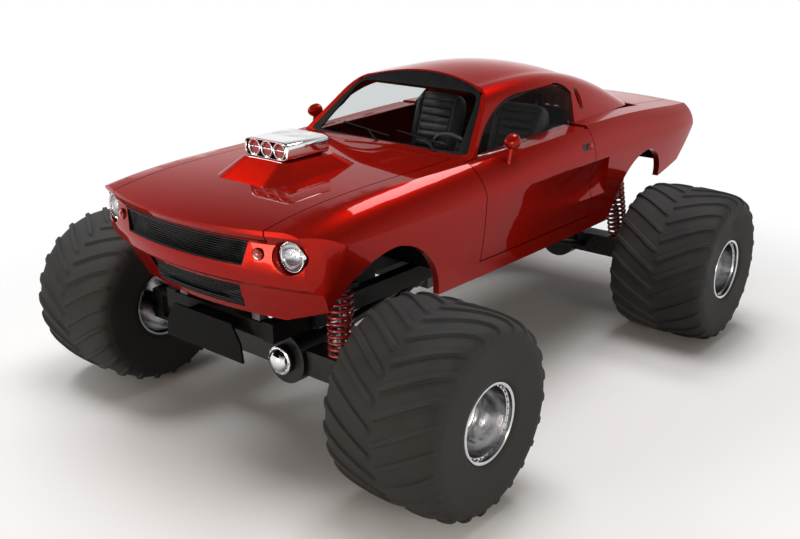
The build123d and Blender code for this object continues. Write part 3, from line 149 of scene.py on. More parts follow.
def smooth_tree(name, degrees):
    """Geometry nodes that weld loose facets, shade them smooth and keep edges sharper than an angle hard."""
    tree = bpy.data.node_groups.new(name, "GeometryNodeTree")
    tree.interface.new_socket("Geometry", in_out="INPUT", socket_type="NodeSocketGeometry")
    tree.interface.new_socket("Geometry", in_out="OUTPUT", socket_type="NodeSocketGeometry")
    make = node_maker(tree)
    start = make("NodeGroupInput").outputs[0]
    bare = make("GeometryNodeRemoveAttribute", {"Geometry": start, "Name": "custom_normal"})
    welded = make("GeometryNodeMergeByDistance", {"Geometry": bare.outputs[0], "Distance": WELD_GAP})
    soft = make("GeometryNodeSetShadeSmooth", {0: welded.outputs[0], "Shade Smooth": True}, domain="FACE")
    angle = make("GeometryNodeInputMeshEdgeAngle").outputs["Unsigned Angle"]
    sharp = make("FunctionNodeCompare", {"A": angle, "B": np.radians(degrees)}, operation="GREATER_THAN")
    hard = make("GeometryNodeSetShadeSmooth", {
        0: soft.outputs[0], "Selection": sharp.outputs[0], "Shade Smooth": False}, domain="EDGE")
    make("NodeGroupOutput", {0: hard.outputs[0]})
    return tree


smooth_skin = smooth_tree("smooth_skin", SMOOTH_BELOW)


def dress(names, finish):
    """Gives solids a finish and smooth facets."""
    for name in names:
        solid = nodes[name]
        solid.data.materials.clear()
        solid.data.materials.append(finish)
        solid.modifiers.new("smooth", "NODES").node_group = smooth_skin


satin_black = weathered(
    "satin_black", (0.008, 0.008, 0.009), (0.022, 0.021, 0.02), (0.34, 0.6), 7, 420, 0.0004,
    Specular_IOR_Level=0.1)
dress([
    "frame_rails", "crossmembers", "spring_towers", "link_bars", "rear_floor", "rear_bulkhead", "floor_pan",
    "firewall",
], satin_black)
skid_grey = weathered(
    "skid_grey", (0.003, 0.003, 0.003), (0.007, 0.007, 0.007), (0.42, 0.62), 5, 500, 0.0003,
    Specular_IOR_Level=0.06)
dress(["skid_plate"], skid_grey)

# Axles, knuckles and shafts: forged and cast steel under thick black enamel, glossier than the frame.
# The differential covers are pressed domes in bright plate with a ring of screws.
DIFF_Y, AXLE_Z = 0.265, 0.545
COVER = [
    (-0.006, 0.084), (0.004, 0.084), (0.007, 0.08), (0.008, 0.07), (0.02, 0.065), (0.032, 0.054), (0.041, 0.038),
    (0.046, 0.02), (0.047, 0.006),
]
# Screws: how many, ring radius, seat along the axis, head radius, head height
COVER_SCREWS = (10, 0.0765, 0.007, 0.0055, 0.006)
axle_black = weathered(
    "axle_black", (0.008, 0.008, 0.009), (0.025, 0.024, 0.023), (0.25, 0.5), 11, 350, 0.0005,
    Specular_IOR_Level=0.3)
dress(["front_axle", "rear_axle", "knuckle_left", "knuckle_right", "drive_shafts"], axle_black)
chrome, shader, make, place = material("chrome", (0.82, 0.82, 0.83), 0.06, 1.0)
roughen(chrome, shader, make, mottled(make, 14, 900)["Cloud"], 0.04, 0.12)


def unit(vector):
    """The same direction at length one, along the last axis of an array."""
    vector = np.asarray(vector, float)
    return vector / np.linalg.norm(vector, axis=-1, keepdims=True)


def circle(count):
    """Cosines and sines at equal steps of a full turn, as two columns."""
    turn = np.linspace(0, 2 * np.pi, count, endpoint=False)
    return np.stack((np.cos(turn), np.sin(turn)), axis=-1)


def spun(profile, centre, axis, sides=64):
    """A grid from a line of distances along an axis and radii, turned about that axis through a centre."""
    axis = unit(axis)
    across = unit(np.cross(axis, UP if abs(axis[2]) < 0.9 else AHEAD))
    ring = circle(sides) @ np.array([across, np.cross(axis, across)])
    profile = np.asarray(profile, float)
    return np.asarray(centre) + profile[:, :1, None] * axis + profile[:, 1:, None] * ring


def patch(points, closed_rows=False):
    """Quads between neighbouring points of a grid whose rows are loops, with flat ends or joined last to first."""
    rows, columns = points.shape[:2]
    index = np.arange(rows * columns).reshape(rows, columns)
    ends = [] if closed_rows else [index[0][::-1].tolist(), index[-1].tolist()]
    if closed_rows:
        index = np.vstack((index, index[:1]))
    index = np.hstack((index, index[:, :1]))
    quads = np.stack((index[:-1, :-1], index[:-1, 1:], index[1:, 1:], index[1:, :-1]), axis=-1)
    return points.reshape(-1, 3), quads.reshape(-1, 4).tolist() + ends


def lathe(profile, centre, axis, sides=64, closed=False):
    """The patch of a spun line, with flat ends or joined into a ring."""
    return patch(spun(profile, centre, axis, sides), closed)


def piece(name, patches, finish, body="chassis", sharp=40):
    """One object from several patches, its faces turned outward and edges sharper than an angle left hard."""
    counts = np.cumsum([0] + [len(points) for points, _ in patches])
    faces = [[start + corner for corner in loop] for start, (_, loops) in zip(counts, patches) for loop in loops]
    mesh = bpy.data.meshes.new(name)
    mesh.from_pydata(np.concatenate([points for points, _ in patches]), [], faces)
    turned = bmesh.new()
    turned.from_mesh(mesh)
    bmesh.ops.recalc_face_normals(turned, faces=turned.faces)
    turned.to_mesh(mesh)
    turned.free()
    mesh.shade_smooth()
    mesh.set_sharp_from_angle(angle=np.radians(sharp))
    mesh.materials.append(finish)
    made = bpy.data.objects.new(name, mesh)
    bpy.context.collection.objects.link(made)
    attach(made, body)
    return made


def screws(count, ring_r, along, radius, height, centre, axis):
    """Patches of small six-sided domed heads, evenly spaced on a ring about an axis."""
    head = [(0, radius), (0.7 * height, radius), (height, 0.6 * radius)]
    return [lathe(head, seat, axis, 6) for seat in spun([(along, ring_r)], centre, axis, count)[0]]


cover_patches = []
for axle, facing in (("front_axle", 1), ("rear_axle", -1)):
    low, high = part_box(axle)
    seat = ((high if facing > 0 else low)[0], DIFF_Y, AXLE_Z)
    cover_patches.append(lathe(COVER, seat, (facing, 0, 0), 48))
    cover_patches += screws(*COVER_SCREWS, seat, (facing, 0, 0))
piece("diff_covers", cover_patches, chrome)

# Coil-over springs: red powder-coated wire wound round a slim steel damper, standing on the axle beams.
# Each is held between a cup on the beam and a cup under its tower.
SPRING_HALF, WIRE_R, COIL_PITCH, COIL_END, COIL_STEPS = 0.064, 0.0098, 0.036, 0.01, 36
FRONT_AXLE_X, REAR_AXLE_X = 1.667, -1.303
SPRING_FOOT_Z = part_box("springs")[0][2]
SPRING_LINES = [
    ((FRONT_AXLE_X, 0.600, SPRING_FOOT_Z), (FRONT_AXLE_X, 0.600, 1.029)),
    ((REAR_AXLE_X, 0.730, SPRING_FOOT_Z), (REAR_AXLE_X + 0.150, 0.715, 1.194)),
]
# Damper: share of the length from the foot, distance on from there, radius
DAMPER = [
    (0, 0, 0.06), (0, 0.008, 0.066), (0, 0.014, 0.05), (0, 0.02, 0.024), (0.42, 0, 0.022), (0.43, 0, 0.011),
    (1, -0.03, 0.011), (1, -0.02, 0.05), (1, -0.01, 0.066), (1, 0, 0.06),
]
spring_red = weathered(
    "spring_red", (0.36, 0.008, 0.008), (0.5, 0.02, 0.016), (0.22, 0.4), 30, 800, 0.0002, Coat_Weight=0.6)
damper_steel = weathered(
    "damper_steel", (0.14, 0.14, 0.15), (0.28, 0.28, 0.29), (0.2, 0.4), 25, 600, 0.0002, 0.9)


def tube(path, radius, reference, sides=10, closed=False):
    """A round section carried along a line: each point plus a circle square to the line's direction there.

    The patch has flat ends, or is joined into a hoop where the line closes."""
    ahead = unit(np.roll(path, -1, 0) - np.roll(path, 1, 0) if closed else np.gradient(path, axis=0))
    across = unit(np.cross(ahead, reference))
    ring = circle(sides) @ np.stack((across, np.cross(across, ahead)), axis=1)
    return patch(path[:, None] + np.reshape(radius, (-1, 1, 1)) * ring, closed)


coil_patches, damper_patches = [], []
for foot, head in SPRING_LINES:
    for side in (1, -1):
        low, high = np.array(foot) * (1, side, 1), np.array(head) * (1, side, 1)
        line = high - low
        length = np.linalg.norm(line)
        turns = round(length / COIL_PITCH)
        along = np.linspace(COIL_END / length, 1 - COIL_END / length, turns * COIL_STEPS + 1)[:, None]
        wind = along * turns * 2 * np.pi
        across = unit(np.cross(line, LEFT))
        over = np.cross(unit(line), across)
        helix = low + along * line + SPRING_HALF * (np.cos(wind) * across + np.sin(wind) * over)
        coil_patches.append(tube(helix, WIRE_R, line))
        profile = [(share * length + shift, radius) for share, shift, radius in DAMPER]
        damper_patches.append(lathe(profile, low, line, 32))
coils = piece("spring_coils", coil_patches, spring_red)
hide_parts("springs")
piece("spring_dampers", damper_patches, damper_steel, sharp=30)

# Engine, gearbox and radiator: cast iron and alloy castings on the frame, under the hood and the floor.
# The rocker covers are finned castings in bright plate, one along each bank.
ROCKER_SHARE, BANK_SHARE, BANK_LEAN = 0.36, 0.3, 0.35
ROCKER_FORM, FIN_FORM = (0.07, 0.03, 0.03), (0.003, 0.004, 0.03)
FIN_SHARE, FIN_HALF_SPAN, FIN_LIFT = 0.9, 0.045, 0.026
cast_grey = weathered("cast_grey", (0.06, 0.06, 0.062), (0.14, 0.14, 0.145), (0.45, 0.7), 9, 260, 0.001, 0.3)
dress(["engine", "gearbox"], cast_grey)
core_grey, shader, make, place = material("core_grey", (0.2, 0.2, 0.21), 0.4, 0.8)
weather(core_grey, shader, make, (0.1, 0.1, 0.105), (0.24, 0.24, 0.25), (0.3, 0.55), 12, 300, 0.0003)
fins = make("ShaderNodeTexWave", {"Vector": place, "Scale": 60}, bands_direction="Z")
emboss(core_grey, shader, make, fins.outputs["Fac"], 0.6, 0.002)
dress(["radiator"], core_grey)


def columns(*parts):
    """Numbers and arrays side by side along a new last axis, each stretched to the shape of the largest."""
    return np.stack(np.broadcast_arrays(*parts), axis=-1)


def squared(wave, power):
    """A wave's size raised to a power, with its sign kept: a low power makes a circle into a soft square."""
    return np.sign(wave) * np.abs(wave) ** power


def crowned(half_long, half_high, rise, skirt, power=4.0, rings=6, sides=48):
    """Superellipse rings that grow from middle to rim and fall by the square of that share, then a skirt."""
    share = np.append(np.linspace(0.03, 1, rings), 1)[:, None]
    fall = rise * (1 - share ** 2)
    fall[-1] = -skirt
    rim_long, rim_high = squared(circle(sides), 2 / power).T
    return columns(share * half_long * rim_long, share * half_high * rim_high, fall)


def placed(grid, centre, long_way, facing):
    """The patch of a grid moved so that its first axis lies along a direction, its third along the facing one."""
    facing = unit(facing)
    long_way = unit(np.asarray(long_way) - np.dot(long_way, facing) * facing)
    return patch(np.asarray(centre) + grid @ np.array([long_way, np.cross(facing, long_way), facing]))


low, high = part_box("engine")
cover_long = ROCKER_SHARE * (high[0] - low[0])
bank_patches = []
for side in (1, -1):
    seat = np.array([(low[0] + high[0]) / 2, side * BANK_SHARE * (high[1] - low[1]), high[2]])
    facing = np.array([0, side * BANK_LEAN, 1])
    bank_patches.append(placed(crowned(cover_long, *ROCKER_FORM), seat, AHEAD, facing))
    for shift in np.linspace(-FIN_HALF_SPAN, FIN_HALF_SPAN, 7):
        fin = crowned(FIN_SHARE * cover_long, *FIN_FORM)
        bank_patches.append(placed(fin, seat + (0, shift, FIN_LIFT), AHEAD, facing))
piece("rocker_covers", bank_patches, chrome)

# Seats: two foam buckets in black hide on moulded bases. The cushion is sewn in channels front to back, the
# backrest in channels across between two firm side bolsters, and both are pulled in at their seams.
SEAT_Y, SEAT_HALF, PAD_ROWS, PAD_COLUMNS = 0.345, 0.222, 96, 112
GROOVE_DEEP, SEAM_DEEP, WAIST = 0.014, 0.012, 0.035
# Across the pad, as shares of its half width: where each form lies and how softly it ends
FACE_EDGE, SEAM_AT, BOLSTER_AT = (0.62, 0.03), (0.63, 0.025), (0.8, 0.16)
# Pad: name, its two ends in X and Z, facing, half depth, channels, whether they run lengthwise, bolster height
PADS = [
    ("cushion", (-0.300, 1.110), (0.200, 1.135), UP, 0.062, 9, True, 0.02),
    ("backrest", (-0.318, 1.135), (-0.492, 1.692), (0.953, 0, 0.303), 0.055, 10, False, 0.024),
]
BASE_X, BASE_HALF_LONG, BASE_HALF_WIDE = -0.07, 0.23, 0.19
# Base: height and size at each level
BASE_LEVELS = np.array([(0.915, 1.0), (0.93, 1.0), (1.0, 0.86), (1.05, 0.95), (1.075, 0.95)])
seat_hide = weathered(
    "seat_hide", (0.016, 0.016, 0.017), (0.03, 0.03, 0.031), (0.38, 0.55), 10, 900, 0.0006, Sheen_Weight=0.1)
moulded_black = weathered(
    "moulded_black", (0.016, 0.016, 0.017), (0.028, 0.028, 0.029), (0.48, 0.65), 14, 1100, 0.0005)


def cushion(start, end, facing, half_depth, channels, lengthwise, bolster):
    """A closed pad along a line: superellipse sections that shrink to its ends, with sewn grooves in its face.

    Grooves are the deep parts of a rectified sine across or along the face; bolsters swell its sides."""
    share = (1 - np.cos(np.linspace(0.02, np.pi - 0.02, PAD_ROWS)))[:, None] / 2
    cos, sin = circle(PAD_COLUMNS).T
    ends = (1 - np.abs(2 * share - 1) ** 5) ** 0.2
    wide, deep = ends * squared(cos, 0.55), ends * squared(sin, 0.7)
    middle = 1 / (1 + np.exp((np.abs(wide) - FACE_EDGE[0]) / FACE_EDGE[1]))
    phase = (wide / FACE_EDGE[0] + 1) / 2 if lengthwise else share
    groove = GROOVE_DEEP * middle * (1 - np.abs(np.sin(np.pi * channels * phase))) ** 3
    swell = bolster * np.exp(-((np.abs(wide) - BOLSTER_AT[0]) / BOLSTER_AT[1]) ** 2)
    seam = SEAM_DEEP * np.exp(-((np.abs(wide) - SEAM_AT[0]) / SEAM_AT[1]) ** 2)
    out = half_depth * deep + np.clip(deep, 0, 1) * (swell - seam - groove)
    pull = 1 - WAIST * np.sin(np.pi * share)
    spine = np.asarray(start) + share * (np.asarray(end) - np.asarray(start))
    return patch(spine[:, None] + columns(0, SEAT_HALF * pull * wide, 0) + out[..., None] * unit(facing))


base_long, base_wide = (squared(circle(48), 0.5) * (BASE_HALF_LONG, BASE_HALF_WIDE) + (BASE_X, 0)).T
level, shrink = BASE_LEVELS.T[..., None]
base_patches = []
for name, side in SIDES:
    at = side * SEAT_Y
    for part, start, end, *form in PADS:
        pad = cushion((start[0], at, start[1]), (end[0], at, end[1]), *form)
        padded = piece(f"seat_{part}_{name}", [pad], seat_hide, sharp=70)
        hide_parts("seats")
    base_patches.append(patch(columns(shrink * base_long, at + shrink * base_wide, level)))
piece("seat_bases", base_patches, moulded_black)

# Dashboard and steering wheel: a grained grey moulding with round dials, and a hide-bound ring on alloy arms.
# The dials are dark faces in bright rings, pushed into the moulding's rear face.
DIALS = [(0.24, 0.05), (0.45, 0.05), (0.345, 0.034), (0.0, 0.034), (-0.1, 0.034)]
DIAL_Z, DIAL_SUNK, DIAL_FACING = 1.400, 0.008, (-1, 0, -0.1)
DIAL_RING = [(-0.006, -0.006), (0.006, -0.006), (0.011, -0.003), (0.011, 0.0), (-0.006, 0.0)]
WHEEL_HUB, WHEEL_R, WHEEL_TILT = np.array([0.325, SEAT_Y, 1.449]), 0.166, np.radians(20)
GRIP_R, GRIP_AHEAD, ARM_OUT, ARM_AHEAD = 0.0145, 0.011, 0.1, 0.008
ARM_FORM = (0.064, 0.016, 0.003, 0.003, 6, 4, 32)
STEERING_COLUMN = [(-0.27, 0.022), (-0.01, 0.022), (0, 0.044), (0.016, 0.04), (0.024, 0.02)]
dash_grey = weathered("dash_grey", (0.075, 0.075, 0.075), (0.12, 0.12, 0.12), (0.5, 0.7), 12, 1000, 0.0006)
dress(["dashboard"], dash_grey)


def grown(profile, radius):
    """A spun line whose radii are given as differences from one radius."""
    return [(along, radius + more) for along, more in profile]


dial_patches, face_patches = [], []
dash_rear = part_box("dashboard")[0][0]
for lateral, radius in DIALS:
    seat = (dash_rear + DIAL_SUNK, lateral, DIAL_Z)
    dial_patches.append(lathe(grown(DIAL_RING, radius), seat, DIAL_FACING, 40, True))
    face = [(-0.004, radius - 0.004), (0.002, radius - 0.004), (0.003, 0.002)]
    face_patches.append(lathe(face, seat, DIAL_FACING, 40))
piece("dial_rings", dial_patches, chrome)
piece("dial_faces", face_patches, moulded_black)
wheel_axis = np.array([-np.cos(WHEEL_TILT), 0, np.sin(WHEEL_TILT)])
wheel_up = np.array([np.sin(WHEEL_TILT), 0, np.cos(WHEEL_TILT)])
ring_line = WHEEL_R * circle(72) @ np.array([wheel_up, LEFT])
grip = tube(WHEEL_HUB + GRIP_AHEAD * wheel_axis + ring_line, GRIP_R, wheel_axis, 14, True)
steering = piece("steering_ring", [grip], seat_hide)
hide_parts("steering_wheel")
arm_patches = [lathe(STEERING_COLUMN, WHEEL_HUB, wheel_axis, 32)]
for angle in np.radians((90, 210, 330)):
    way = np.cos(angle) * wheel_up - np.sin(angle) * np.array(LEFT)
    seat = WHEEL_HUB + ARM_OUT * way + ARM_AHEAD * wheel_axis
    arm_patches.append(placed(crowned(*ARM_FORM), seat, way, wheel_axis))
piece("steering_arms", arm_patches, damper_steel)

# Painted body panels: pressed steel skins in candy red, metal flake under tinted lacquer and a clear coat.
# The panels are the solids themselves, with their facets blended to smooth skins.
PANELS = [
    "nose", "hood", "deck_lid", "cowl", "door_left", "door_right", "wing_left", "wing_right", "quarter_left",
    "quarter_right", "rockers", "tail_panel", "roof", "sails", "windscreen_pillars", "rear_filler",
]
CANDY_RED, CANDY_ORANGE = (0.3, 0.0035, 0.004), (0.55, 0.05, 0.006)
candy, shader, make, place = material(
    "candy_paint", CANDY_RED, 0.3, 0.55, Specular_IOR_Level=0.0,
    Specular_Tint=(0.95, 0.06, 0.05, 1), Coat_Weight=1.0, Coat_Roughness=0.02, Coat_IOR=1.2)
flake = make("ShaderNodeTexVoronoi", {"Vector": place, "Scale": 1100})
sparkle = ranged(make, flake.outputs["Color"], 0.6, 1)
link(candy, mixed(make, sparkle, CANDY_RED, CANDY_ORANGE), shader.inputs["Base Color"])
roughen(candy, shader, make, mottled(make, 1.5, 1500)["Grain"], 0.26, 0.36)
dress(PANELS, candy)

# Engine bay: a belt over three turned pulleys drives the pump and alternator, a six-blade fan turns in a shroud
# ring on the back of the radiator, and two moulded rubber hoses join the radiator to the block.
CRANK_Z, FAN_Z, FAN_AHEAD, BLADE_OUT, BLADE_SWEEP = 0.93, 1.17, 0.05, 0.12, (0.9, 0.43)
# Pulley: distance to the left, height, radius
PULLEYS = np.array([(0.0, CRANK_Z, 0.085), (0.0, FAN_Z, 0.07), (0.22, 1.22, 0.042)])
GROOVE = [(-0.004, 0), (0.004, 0), (0.012, -0.008), (0.02, 0), (0.026, 0), (0.026, -0.02), (0.016, -0.03)]
PULLEY_NUT = [(0.0, 0.016), (0.034, 0.016), (0.04, 0.01)]
FAN_HUB = [(0.02, 0.03), (0.06, 0.03), (0.066, 0.024)]
BLADE_FORM = (0.07, 0.04, 0.003, 0.003, 4, 4, 24)
BELT_R, BELT_SUNK, BELT_AHEAD, HOSE_R = 0.006, 0.004, 0.012, 0.022
SHROUD = [(-0.001, 0.275), (-0.05, 0.245), (-0.052, 0.24), (-0.004, 0.262), (-0.001, 0.268)]
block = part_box("engine")[1][0]
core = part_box("radiator")[0][0]
# Hose: the four control points of a cubic curve from the radiator to the block
HOSES = np.array([
    ((core, 0.30, 1.40), (core - 0.12, 0.30, 1.42), (block + 0.12, 0.20, 1.36), (block - 0.004, 0.20, 1.33)),
    ((core, -0.32, 0.92), (core - 0.12, -0.32, 0.92), (block + 0.12, -0.22, 0.96), (block - 0.004, -0.22, 0.98)),
])
drive_patches = []
for lateral, height, radius in PULLEYS:
    drive_patches.append(lathe(grown(GROOVE, radius), (block, lateral, height), AHEAD, 48))
    drive_patches.append(lathe(PULLEY_NUT, (block, lateral, height), AHEAD, 6))
for cos, sin in circle(6):
    out = np.array([0, cos, sin])
    sweep = np.array([BLADE_SWEEP[0], -BLADE_SWEEP[1] * sin, BLADE_SWEEP[1] * cos])
    seat = np.array([block + FAN_AHEAD, 0, FAN_Z]) + BLADE_OUT * out
    drive_patches.append(placed(crowned(*BLADE_FORM), seat, out, sweep))
drive_patches.append(lathe(FAN_HUB, (block, 0, FAN_Z), AHEAD, 32))
piece("engine_drive", drive_patches, damper_steel)
way = circle(160)
leading = PULLEYS[np.argmax(way @ PULLEYS[:, :2].T + PULLEYS[:, 2], axis=1)]
run = leading[:, :2] + (leading[:, 2:] - BELT_SUNK) * way
rubber_patches = [tube(columns(block + BELT_AHEAD, run[:, 0], run[:, 1]), BELT_R, AHEAD, 8, True)]
rubber_patches.append(lathe(SHROUD, (core, 0, FAN_Z), AHEAD, 72, True))
course = np.linspace(0, 1, 32)
rest = 1 - course
bezier = columns(rest ** 3, 3 * rest ** 2 * course, 3 * rest * course ** 2, course ** 3)
rubber_patches += [tube(bezier @ hose, HOSE_R, UP, 20) for hose in HOSES]
piece("engine_hoses", rubber_patches, moulded_black)

# Grilles: stacks of thin moulded bars in gloss black, set back in the nose's two openings and clipped in black
# liners, with a dark wire screen close behind them. Narrow strips carry the black on over the nose skin.
SCREEN_BEHIND, SCREEN_SHARE, BAR_R = 0.012, (0.995, 0.985), 0.0034
NOSE_BOW, LINER_AHEAD, BARS_AHEAD, BAR_SHORT = 0.25, -0.004, -0.016, 0.003
# Opening: bottom and top Z, half widths there, face on the centre line at the top, lean per metre of drop, bars
OPENINGS = [(1.255, 1.379, 0.456, 0.490, 2.258, -0.08, 10), (1.013, 1.121, 0.342, 0.370, 2.197, 0.44, 9)]
LINER_BACK = (2.165, 2.102)
# Liner: how far its four edges lie inside the opening, and whether they are at the front
LINER_EDGES = ((0.0012, True), (0.0055, True), (0.0055, False), (0.0012, False))
# Strips: as the openings
APRONS = [(1.377, 1.402, 0.489, 0.492, 2.2575, -0.05, 2), (0.978, 1.016, 0.334, 0.343, 2.151, 0.44, 3)]
APRON_HALF, APRON_BAR_AHEAD, APRON_STEPS = (0.003, 0, 0), (0.004, 0, 0), 8
gloss_black = weathered(
    "gloss_black", (0.004, 0.004, 0.004), (0.01, 0.01, 0.01), (0.16, 0.34), 16, 700, 0.0002,
    Specular_IOR_Level=0.2)
dress(["grille", "lower_grille"], gloss_black)
mesh_black, shader, make, place = material("mesh_black", (0.006, 0.006, 0.006), 0.6)
wires = [make("ShaderNodeTexWave", {"Vector": place, "Scale": 90}, bands_direction=way) for way in "ZY"]
weave = make("ShaderNodeMath", {k: wire.outputs["Fac"] for k, wire in enumerate(wires)}, operation="MAXIMUM")
emboss(mesh_black, shader, make, weave.outputs[0], 0.7, 0.002)


def nose_x(across, z, z_top, face_x, lean):
    """The nose's X: its face, less the bow by the square of the distance across, less the lean by the drop."""
    return face_x - NOSE_BOW * across ** 2 - lean * (z_top - z)


screen_patches, liner_patches, bar_patches = [], [], []
for name in ("grille", "lower_grille"):
    low, high = np.array(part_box(name))
    half = (high - low) / 2
    flat = crowned(half[1] * SCREEN_SHARE[0], half[2] * SCREEN_SHARE[1], 0.002, 0.004, 14, 5, 96)
    screen_patches.append(placed(flat, low + half - (half[0] + SCREEN_BEHIND, 0, 0), LEFT, AHEAD))
piece("grille_screens", screen_patches, mesh_black)
for (z_low, z_top, half_low, half_top, face_x, lean, bars), back_x in zip(OPENINGS, LINER_BACK):
    corner = np.array([(-half_low, z_low), (half_low, z_low), (half_top, z_top), (-half_top, z_top)])
    run = np.linspace(0, 1, 24, endpoint=False)[:, None]
    edge = np.concatenate([a + run * (b - a) for a, b in zip(corner, np.roll(corner, -1, 0))])
    walls = []
    for inside, ahead in LINER_EDGES:
        across, z = (edge - inside * np.sign(edge - (0, (z_low + z_top) / 2))).T
        walls.append(columns(nose_x(across, z, z_top, face_x, lean) + LINER_AHEAD if ahead else back_x, across, z))
    liner_patches.append(patch(np.stack(walls), closed_rows=True))
    for share in (np.arange(bars) + 0.5) / bars:
        z = z_low + share * (z_top - z_low)
        across = np.linspace(-1, 1, 40) * (half_low + share * (half_top - half_low) - BAR_SHORT)
        line = columns(nose_x(across, z, z_top, face_x, lean) + BARS_AHEAD, across, z)
        bar_patches.append(tube(line, BAR_R, UP, 8))
for z_low, z_top, half_low, half_top, face_x, lean, bars in APRONS:
    across, up = np.meshgrid(np.linspace(-1, 1, 60), np.linspace(0, 1, APRON_STEPS + 1))
    across = across * (half_low + up * (half_top - half_low))
    z = z_low + up * (z_top - z_low)
    skin = columns(nose_x(across, z, z_top, face_x, lean), across, z)
    strip = np.concatenate((skin + APRON_HALF, skin[::-1] - APRON_HALF))
    liner_patches.append(patch(strip.transpose(1, 0, 2)))
    for share in (np.arange(bars) + 0.5) / bars:
        bar_patches.append(tube(skin[round(share * APRON_STEPS)] + APRON_BAR_AHEAD, BAR_R, UP, 8))
piece("grille_liners", liner_patches, gloss_black)
piece("grille_face_bars", bar_patches, gloss_black)

# Headlamps and turn lamps: a bright reflector bowl and bulb behind a fluted lens, in a chromed bezel with a
# milled edge. The turn lamps are small ribbed red-orange domes in thin rings.
LAMP_Y, LAMP_Z, LAMP_SET_BACK, LAMP_TOE = 0.706, 1.328, 0.036, np.radians(2)
SIGNAL_Y, SIGNAL_TOE = 0.548, np.radians(15)
LENS_R, LENS_RISE, LENS_THICK, FLUTE_HIGH, FLUTE_RATE = 0.0676, 0.012, 0.003, 0.0006, 60
BEZEL = [
    (-0.05, 0.0866), (-0.045, 0.0866), (-0.044, 0.078), (0.0, 0.078), (0.006, 0.0758), (0.008, 0.072),
    (0.0045, 0.069), (-0.005, 0.0668), (-0.05, 0.066),
]
BOWL = [
    (-0.008, 0.0668), (-0.02, 0.061), (-0.036, 0.047), (-0.047, 0.029), (-0.052, 0.011), (-0.056, 0.011),
    (-0.05, 0.033), (-0.038, 0.052), (-0.02, 0.0662),
]
BULB = [(-0.05, 0.008), (-0.03, 0.010), (-0.02, 0.009), (-0.014, 0.004)]
MILL_RING, STUD = [(0.0075, 0.0762)], [(-0.004, 0.0036), (0.0015, 0.003), (0.0025, 0.0014)]
RIBBED = [
    (-0.03, 0.0285), (0.0, 0.0285), (0.004, 0.027), (0.0035, 0.0245), (0.008, 0.023), (0.0075, 0.0195),
    (0.0115, 0.018), (0.011, 0.0135), (0.0138, 0.012), (0.0135, 0.007), (0.015, 0.002),
]
COLLAR = [(-0.04, 0.0314), (0.001, 0.0314), (0.003, 0.030), (0.001, 0.0287), (-0.03, 0.0287)]
lamp_glass = material("lamp_glass", (0.95, 0.96, 0.97), 0.03, IOR=1.3, Transmission_Weight=1.0)[0]
signal_lens = weathered(
    "signal_lens", (0.45, 0.012, 0.006), (0.7, 0.04, 0.01), (0.1, 0.22), 30, 900, 0.0001,
    Coat_Weight=0.8, Subsurface_Weight=0.15)
share = np.linspace(0.02, 1, 28)[:, None]
cos, sin = share * circle(120).T[:, None]
flute = FLUTE_HIGH * np.sin(FLUTE_RATE * cos)
dome = columns(LENS_R * cos, LENS_R * sin, LENS_RISE * (1 - share ** 2) + flute)
lens = np.concatenate((dome, dome[::-1] * (0.995, 0.995, 1) - (0, 0, LENS_THICK)))
lamp_face, signal_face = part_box("headlamps")[1][0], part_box("turn_lamps")[1][0]
bezel_patches, lens_patches, signal_patches, collar_patches = [], [], [], []
for side in (1, -1):
    seat = np.array([lamp_face - LAMP_SET_BACK, side * LAMP_Y, LAMP_Z])
    ahead = np.array([np.cos(LAMP_TOE), side * np.sin(LAMP_TOE), 0])
    bezel_patches += [lathe(BEZEL, seat, ahead, 96, True), lathe(BOWL, seat, ahead, 72, True)]
    bezel_patches.append(lathe(BULB, seat, ahead, 20))
    bezel_patches += [lathe(STUD, stud, ahead, 6) for stud in spun(MILL_RING, seat, ahead, 36)[0]]
    lens_patches.append(placed(lens, seat, LEFT, ahead))
    seat, ahead = (signal_face, side * SIGNAL_Y, LAMP_Z), (1, side * np.tan(SIGNAL_TOE), 0)
    signal_patches.append(lathe(RIBBED, seat, ahead, 56))
    collar_patches.append(lathe(COLLAR, seat, ahead, 56, True))
bezels = piece("headlamp_bowls", bezel_patches, chrome)
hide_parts("headlamps")
piece("headlamp_lenses", lens_patches, lamp_glass)
signals = piece("turn_lenses", signal_patches, signal_lens)
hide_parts("turn_lamps")
piece("turn_collars", collar_patches, gloss_black)

# Tail lamps: three upright red lenses on each side of the tail panel, moulded with ribs across them.
# Each is held to the panel by a thin bright frame.
TAIL_LAMP_Y, TAIL_LAMP_Z, TAIL_HALF_W, TAIL_HALF_H = (0.400, 0.490, 0.580), 1.424, 0.031, 0.054
TAIL_RIB, TAIL_RIBS, TAIL_FRAME_R, TAIL_FRAME_PROUD = 0.0012, 8, 0.004, 0.002
tail_patches, tail_frames = [], []
tail_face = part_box("tail_lamps")[0][0]
rim_y, rim_z = (squared(circle(64), 0.25) * (TAIL_HALF_W, TAIL_HALF_H)).T
lens = crowned(TAIL_HALF_W, TAIL_HALF_H, 0.012, 0.03, 8, 24, 96)
lens[..., 2] += TAIL_RIB * np.cos(lens[..., 1] / TAIL_HALF_H * np.pi * TAIL_RIBS) * (lens[..., 2] > -0.001)
for lateral in TAIL_LAMP_Y:
    for side in (1, -1):
        seat = np.array([tail_face, side * lateral, TAIL_LAMP_Z])
        tail_patches.append(placed(lens, seat, LEFT, (-1, 0, 0)))
        tail_frames.append(tube(seat + columns(-TAIL_FRAME_PROUD, rim_y, rim_z), TAIL_FRAME_R, AHEAD, 8, True))
tails = piece("tail_lenses", tail_patches, signal_lens)
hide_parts("tail_lamps")
piece("tail_frames", tail_frames, chrome)
